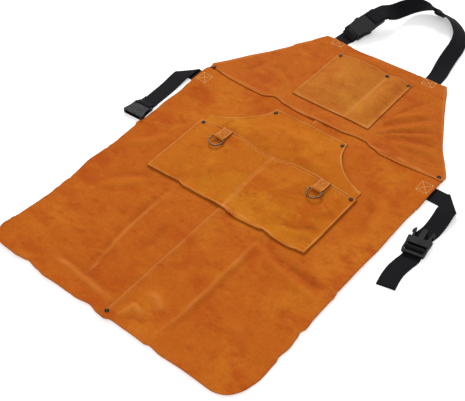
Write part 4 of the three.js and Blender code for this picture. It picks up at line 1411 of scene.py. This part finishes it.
def suede_group():
    """Split leather: clouded dye, short nap, rubbed folds, painted shade in crease valleys, painted
    highlight on crease ridges, and darker cut edges.
    """
    known = bpy.data.node_groups.get("suede")
    if known:
        return known
    graph, given, out = group(
        "suede",
        [("Dye", COLOUR, (0.5, 0.15, 0.02, 1)), ("Rubbed", COLOUR, (0.8, 0.35, 0.1, 1)),
         ("Cut Edge", COLOUR, (0.2, 0.05, 0.01, 1)), ("Clouds", NUMBER, 1.0), ("Nap", NUMBER, 1.0)],
        FINISH,
    )
    place = graph.place()
    broad = graph.noise(place, 5.0, 5.0, 0.6)
    drift = graph.noise(graph.stretch(place, (9.0, 15.0, 9.0)), 1.0, 6.0, 0.66)
    mid = graph.noise(graph.stretch(place, (30.0, 44.0, 30.0)), 1.0, 5.0, 0.66)
    small = graph.noise(place, 170.0, 4.0, 0.68)
    nap = graph.noise(place, 950.0, 2.0, 0.6)
    warm = graph.blend(1.0, given["Dye"], (1.16, 1.50, 1.5, 1), "MULTIPLY")
    red = graph.blend(1.0, given["Dye"], (0.88, 0.66, 0.72, 1), "MULTIPLY")
    dark = graph.blend(1.0, given["Dye"], (0.62, 0.50, 0.55, 1), "MULTIPLY")
    warmth = graph.math("MULTIPLY", graph.ramp(broad, 0.46, 0.66), given["Clouds"], True)
    base = graph.blend(graph.math("MULTIPLY", warmth, 0.72), given["Dye"], warm)
    redness = graph.math("MULTIPLY", graph.ramp(drift, 0.47, 0.66), given["Clouds"], True)
    base = graph.blend(graph.math("MULTIPLY", redness, 0.85), base, red)
    base = graph.blend(graph.math("MULTIPLY", graph.ramp(mid, 0.54, 0.74), 0.50), base, dark)
    base = graph.blend(graph.math("MULTIPLY", graph.ramp(mid, 0.45, 0.28), 0.45), base, warm)
    speck = graph.math("MULTIPLY", graph.ramp(small, 0.35, 0.72), given["Nap"], True)
    base = graph.blend(graph.math("MULTIPLY", speck, 0.30), base, dark)
    # Painted shade: crease valleys are darkened towards the dark dye, the deeper the darker.
    crease_shading = graph.stored("crease_shading")
    painted_crease_shade = graph.math("MULTIPLY", graph.math("MULTIPLY", crease_shading, 0.85), graph.ramp(mid, 0.2, 0.6), True)
    base = graph.blend(painted_crease_shade, base, dark)
    # Painted highlight: crease ridges are lightened towards the warm dye, the higher the lighter.
    painted_ridge_highlight = graph.math("MULTIPLY", crease_shading, -0.45)
    raised = graph.math("MULTIPLY", painted_ridge_highlight, graph.ramp(small, 0.1, 0.6), True)
    base = graph.blend(raised, base, warm)
    rub = graph.math("MULTIPLY", graph.stored("worn"), graph.ramp(small, 0.05, 0.55), True)
    base = graph.blend(graph.math("MULTIPLY", rub, 0.9), base, given["Rubbed"])
    base = graph.blend(graph.math("MULTIPLY", graph.stored("edge"), 0.75), base, given["Cut Edge"])
    graph.feed(base, out["Color"])
    rough = graph.math("ADD", 0.80, graph.math("MULTIPLY", mid, 0.16))
    graph.feed(rough, out["Roughness"])
    height = graph.math("MULTIPLY", small, 0.55)
    height = graph.math("ADD", height, graph.math("MULTIPLY", nap, 0.28))
    graph.feed(graph.math("ADD", height, graph.math("MULTIPLY", mid, 1.9)), out["Height"])
    return graph.tree


def weave_group():
    """Nylon webbing: staggered ribs across the strap, and tighter selvedges."""
    known = bpy.data.node_groups.get("weave")
    if known:
        return known
    graph, given, out = group(
        "weave",
        [("Yarn", COLOUR, (0.01, 0.01, 0.01, 1)),
         ("Ribs", NUMBER, 1 / 0.0021), ("Rows", NUMBER, 1 / 0.0026)],
        FINISH,
    )
    along, over = graph.stored("along"), graph.stored("over")
    row = graph.math("MULTIPLY", over, given["Rows"])
    stagger = graph.math("MULTIPLY", graph.math("ROUND", row), 0.5)
    rib = graph.math("MULTIPLY", along, given["Ribs"])
    phase = graph.math("MULTIPLY", graph.math("ADD", rib, stagger), 2 * math.pi)
    bump = graph.math("ADD", graph.math("MULTIPLY", graph.math("SINE", phase), 0.5), 0.5)
    turn = graph.math("MULTIPLY", graph.math("ADD", row, 0.5), math.pi)
    groove = graph.math("ABSOLUTE", graph.math("SINE", turn))
    groove = graph.math("POWER", groove, 0.6)
    cloth = graph.math("MULTIPLY", bump, groove)
    fuzz = graph.noise(graph.place(), 1400.0, 2.0, 0.6)
    graph.feed(graph.math("ADD", cloth, graph.math("MULTIPLY", fuzz, 0.25)), out["Height"])
    # Painted highlight: the crowns of the ribs are coloured lighter than the yarn.
    lit = graph.blend(1.0, given["Yarn"], (2.6, 2.6, 2.7, 1), "MULTIPLY")
    graph.feed(graph.blend(graph.math("MULTIPLY", cloth, 0.8), given["Yarn"], lit), out["Color"])
    graph.feed(graph.math("SUBTRACT", 0.78, graph.math("MULTIPLY", cloth, 0.18)), out["Roughness"])
    return graph.tree


def wear_group():
    """Fine unevenness for moulded plastic and tumbled metal: dulled patches and small marks."""
    known = bpy.data.node_groups.get("wear")
    if known:
        return known
    graph, given, out = group(
        "wear",
        [("Base", COLOUR, (0.1, 0.1, 0.1, 1)), ("Tarnish", COLOUR, (0.05, 0.05, 0.05, 1)),
         ("Amount", NUMBER, 0.5), ("Gloss", NUMBER, 0.35), ("Scale", NUMBER, 300.0)],
        FINISH,
    )
    place = graph.place()
    patch = graph.noise(place, given["Scale"], 4.0, 0.6)
    fine = graph.noise(place, 2200.0, 2.0, 0.5)
    mask = graph.math("MULTIPLY", graph.ramp(patch, 0.40, 0.68), given["Amount"], True)
    graph.feed(graph.blend(mask, given["Base"], given["Tarnish"]), out["Color"])
    graph.feed(graph.math("ADD", given["Gloss"], graph.math("MULTIPLY", mask, 0.28)), out["Roughness"])
    graph.feed(graph.math("ADD", fine, graph.math("MULTIPLY", patch, 0.6)), out["Height"])
    return graph.tree


def material(name, tree, values, bump, settings):
    """A Principled material whose colour, roughness and bump come from a node group."""
    known = bpy.data.materials.get(name)
    if known:
        return known
    made = bpy.data.materials.new(name)
    made.use_nodes = True
    graph = Graph(made.node_tree)
    made.node_tree.nodes.clear()
    shader = graph.add("ShaderNodeBsdfPrincipled")
    surface = graph.add("ShaderNodeOutputMaterial")
    finish = graph.add("ShaderNodeGroup", node_tree=tree)
    for key, value in values.items():
        finish.inputs[key].default_value = value
    for key, value in settings.items():
        shader.inputs[key].default_value = value
    relief = graph.add("ShaderNodeBump")
    relief.inputs["Distance"].default_value = bump
    relief.inputs["Strength"].default_value = 0.7
    graph.feed(finish.outputs["Height"], relief.inputs["Height"])
    graph.feed(relief.outputs["Normal"], shader.inputs["Normal"])
    graph.feed(finish.outputs["Color"], shader.inputs["Base Color"])
    graph.feed(finish.outputs["Roughness"], shader.inputs["Roughness"])
    graph.feed(shader.outputs[0], surface.inputs["Surface"])
    made.diffuse_color = (*list(values.values())[0][:3], 1)
    return made


def solid(rgb):
    return (*rgb, 1.0)


def leather(name, dye):
    shades = colours()
    values = {"Dye": solid(dye), "Rubbed": solid(shades.worn), "Cut Edge": solid(shades.raw)}
    settings = {
        "Specular IOR Level": 0.05, "Sheen Weight": 0.02, "Sheen Roughness": 0.6,
        "Sheen Tint": (1.0, 0.62, 0.30, 1.0),
    }
    return material(name, suede_group(), values, 0.0011, settings)


def webbing_look():
    yarn = {"Yarn": solid(colours().webbing)}
    return material("black_webbing", weave_group(), yarn, 0.0006, {"Specular IOR Level": 0.08})


def wear_values(base, tarnish, amount, gloss, scale):
    """What the wear group is given. tarnish is a share of the base colour."""
    dulled = solid([c * tarnish for c in base])
    return {"Base": solid(base), "Tarnish": dulled, "Amount": amount, "Gloss": gloss, "Scale": scale}


def plastic_look():
    values = wear_values(colours().plastic, 1.9, 0.5, 0.44, 160.0)
    return material("moulded_plastic", wear_group(), values, 0.00008, {"Specular IOR Level": 0.12})


def metal_look(name, base, gloss):
    values = wear_values(base, 0.35, 0.8, gloss, 420.0)
    return material(name, wear_group(), values, 0.00006, {"Metallic": 1.0})


def spun(name, base):
    values = wear_values(base, 0.72, 0.7, 0.62, 700.0)
    return material(name, wear_group(), values, 0.00015, {"Specular IOR Level": 0.2})


def thread_look():
    return spun("sewing_thread", colours().thread)


def dyed_thread_look():
    return spun("dyed_thread", colours().dyed_thread)


def bar_thread_look():
    return spun("bar_thread", colours().bar_thread)


# ---- stage ----

# The camera's place, and the directions that are right, down and ahead for it.
CAMERA_PLACE = Vector((1.01022, -1.20647, 1.55034))
CAMERA_RIGHT = Vector((0.77100921, 0.63528948, -0.04418227))
CAMERA_DOWN = Vector((0.43300612, -0.57385467, -0.69512339))
CAMERA_AHEAD = Vector((-0.46695878, 0.51681534, -0.71753146))


# Each light's place, aim, power as a share of the main setting, and size.
LIGHTS = {
    "key": ((-3.2, 4.0, 3.5), (0, 0, 0), 3.6, 1.7),
    "fill": ((1.2, -1.9, 3.2), (0.2, -0.3, 0), 0.56, 2.6),
}


def add_camera(lens):
    data = bpy.data.cameras.new("studio_camera")
    data.lens = lens
    data.sensor_width = 36
    data.clip_start, data.clip_end = 0.05, 50
    camera = bpy.data.objects.new("studio_camera", data)
    bpy.context.scene.collection.objects.link(camera)
    turn = Matrix((CAMERA_RIGHT, -CAMERA_DOWN, -CAMERA_AHEAD)).transposed()
    camera.matrix_world = Matrix.Translation(CAMERA_PLACE) @ turn.to_4x4()
    bpy.context.scene.camera = camera


def add_light(name, place, aim, power, size):
    data = bpy.data.lights.new(name, "AREA")
    data.energy, data.size = power, size
    lamp = bpy.data.objects.new(name, data)
    bpy.context.scene.collection.objects.link(lamp)
    lamp.location = place
    lamp.rotation_euler = (Vector(aim) - Vector(place)).to_track_quat("-Z", "Y").to_euler()


def add_stage():
    stage = bpy.context.scene.apron_stage
    add_camera(stage.lens)
    half = 9.0
    corners = [(-half, -half, 0), (half, -half, 0), (half, half, 0), (-half, half, 0)]
    look = bpy.data.materials.new("pale_floor")
    look.use_nodes = True
    shader = look.node_tree.nodes["Principled BSDF"]
    shader.inputs["Base Color"].default_value = solid(stage.floor)
    shader.inputs["Roughness"].default_value = 0.9
    shader.inputs["Specular IOR Level"].default_value = 0.1
    shader.inputs["Emission Color"].default_value = (1, 1, 1, 1)
    shader.inputs["Emission Strength"].default_value = stage.glow
    floor = new_mesh("studio_floor", corners, [(0, 1, 2, 3)], look, None)
    world = bpy.data.worlds.new("studio")
    world.use_nodes = True
    world.node_tree.nodes["Background"].inputs[0].default_value = (1, 1, 1, 1)
    world.node_tree.nodes["Background"].inputs[1].default_value = stage.sky
    bpy.context.scene.world = world
    for name, (place, aim, share, size) in LIGHTS.items():
        add_light(name, place, aim, stage.key * share, size)
    bpy.context.scene.view_settings.view_transform = "Standard"


# ---- operators, panel and main ----


class StageStep(bpy.types.Operator):
    """Add the floor, the lights and the camera"""

    bl_idname = "apron.stage"
    bl_label = "Stage"

    def execute(self, context):
        add_stage()
        return {"FINISHED"}


class SkirtStep(bpy.types.Operator):
    """Add the two halves of the skirt"""

    bl_idname = "apron.skirt"
    bl_label = "Skirt"

    def execute(self, context):
        add_skirt()
        return {"FINISHED"}


class BibStep(bpy.types.Operator):
    """Add the bib"""

    bl_idname = "apron.bib"
    bl_label = "Bib"

    def execute(self, context):
        add_bib()
        return {"FINISHED"}


class PocketStep(bpy.types.Operator):
    """Add the chest, hand and lap pockets"""

    bl_idname = "apron.pockets"
    bl_label = "Pockets"

    def execute(self, context):
        add_chest_pocket()
        add_hand_pocket()
        add_lap_pocket()
        return {"FINISHED"}


class LoopStep(bpy.types.Operator):
    """Add the tool loops and their rings"""

    bl_idname = "apron.loops"
    bl_label = "Tool Loops and Rings"

    def execute(self, context):
        add_tool_loops()
        add_rings()
        return {"FINISHED"}


class StitchStep(bpy.types.Operator):
    """Sew every seam"""

    bl_idname = "apron.stitching"
    bl_label = "Stitching"

    def execute(self, context):
        add_stitching()
        return {"FINISHED"}


class RivetStep(bpy.types.Operator):
    """Add the rivets"""

    bl_idname = "apron.rivets"
    bl_label = "Rivets"

    def execute(self, context):
        add_rivets()
        return {"FINISHED"}


class WebbingStep(bpy.types.Operator):
    """Add the neck and waist webbing"""

    bl_idname = "apron.webbing"
    bl_label = "Webbing"

    def execute(self, context):
        add_neck_webbing()
        add_waist_webbing()
        return {"FINISHED"}


class BuckleStep(bpy.types.Operator):
    """Finish the buckles and the slider"""

    bl_idname = "apron.buckles"
    bl_label = "Buckles"

    def execute(self, context):
        add_buckles()
        return {"FINISHED"}


STEPS = (
    StageStep, SkirtStep, BibStep, PocketStep, LoopStep, StitchStep, RivetStep, WebbingStep, BuckleStep,
)


class ApronPanel(bpy.types.Panel):
    """Sizes, colours and steps of the apron"""

    bl_idname = "VIEW3D_PT_apron"
    bl_label = "Welding Apron"
    bl_space_type = "VIEW_3D"
    bl_region_type = "UI"
    bl_category = "Apron"

    def draw(self, context):
        for owner in GROUPS:
            settings = getattr(context.scene, owner)
            box = self.layout.box()
            for name in settings.bl_rna.properties.keys():
                if name not in ("rna_type", "name"):
                    box.prop(settings, name)
        for step in STEPS:
            self.layout.operator(step.bl_idname)


GROUPS = {"apron_sizes": ApronSizes, "apron_colours": ApronColours, "apron_stage": ApronStage}


def register():
    for kind in (*GROUPS.values(), *STEPS, ApronPanel):
        bpy.utils.register_class(kind)
    for name, kind in GROUPS.items():
        setattr(bpy.types.Scene, name, PointerProperty(type=kind))


def unregister():
    for name in GROUPS:
        delattr(bpy.types.Scene, name)
    for kind in reversed((*GROUPS.values(), *STEPS, ApronPanel)):
        bpy.utils.unregister_class(kind)


def main():
    register()
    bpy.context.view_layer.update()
    for step in STEPS:
        group_name, step_name = step.bl_idname.split(".")
        getattr(getattr(bpy.ops, group_name), step_name)()
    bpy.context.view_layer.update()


if __name__ == "__main__":
    main()
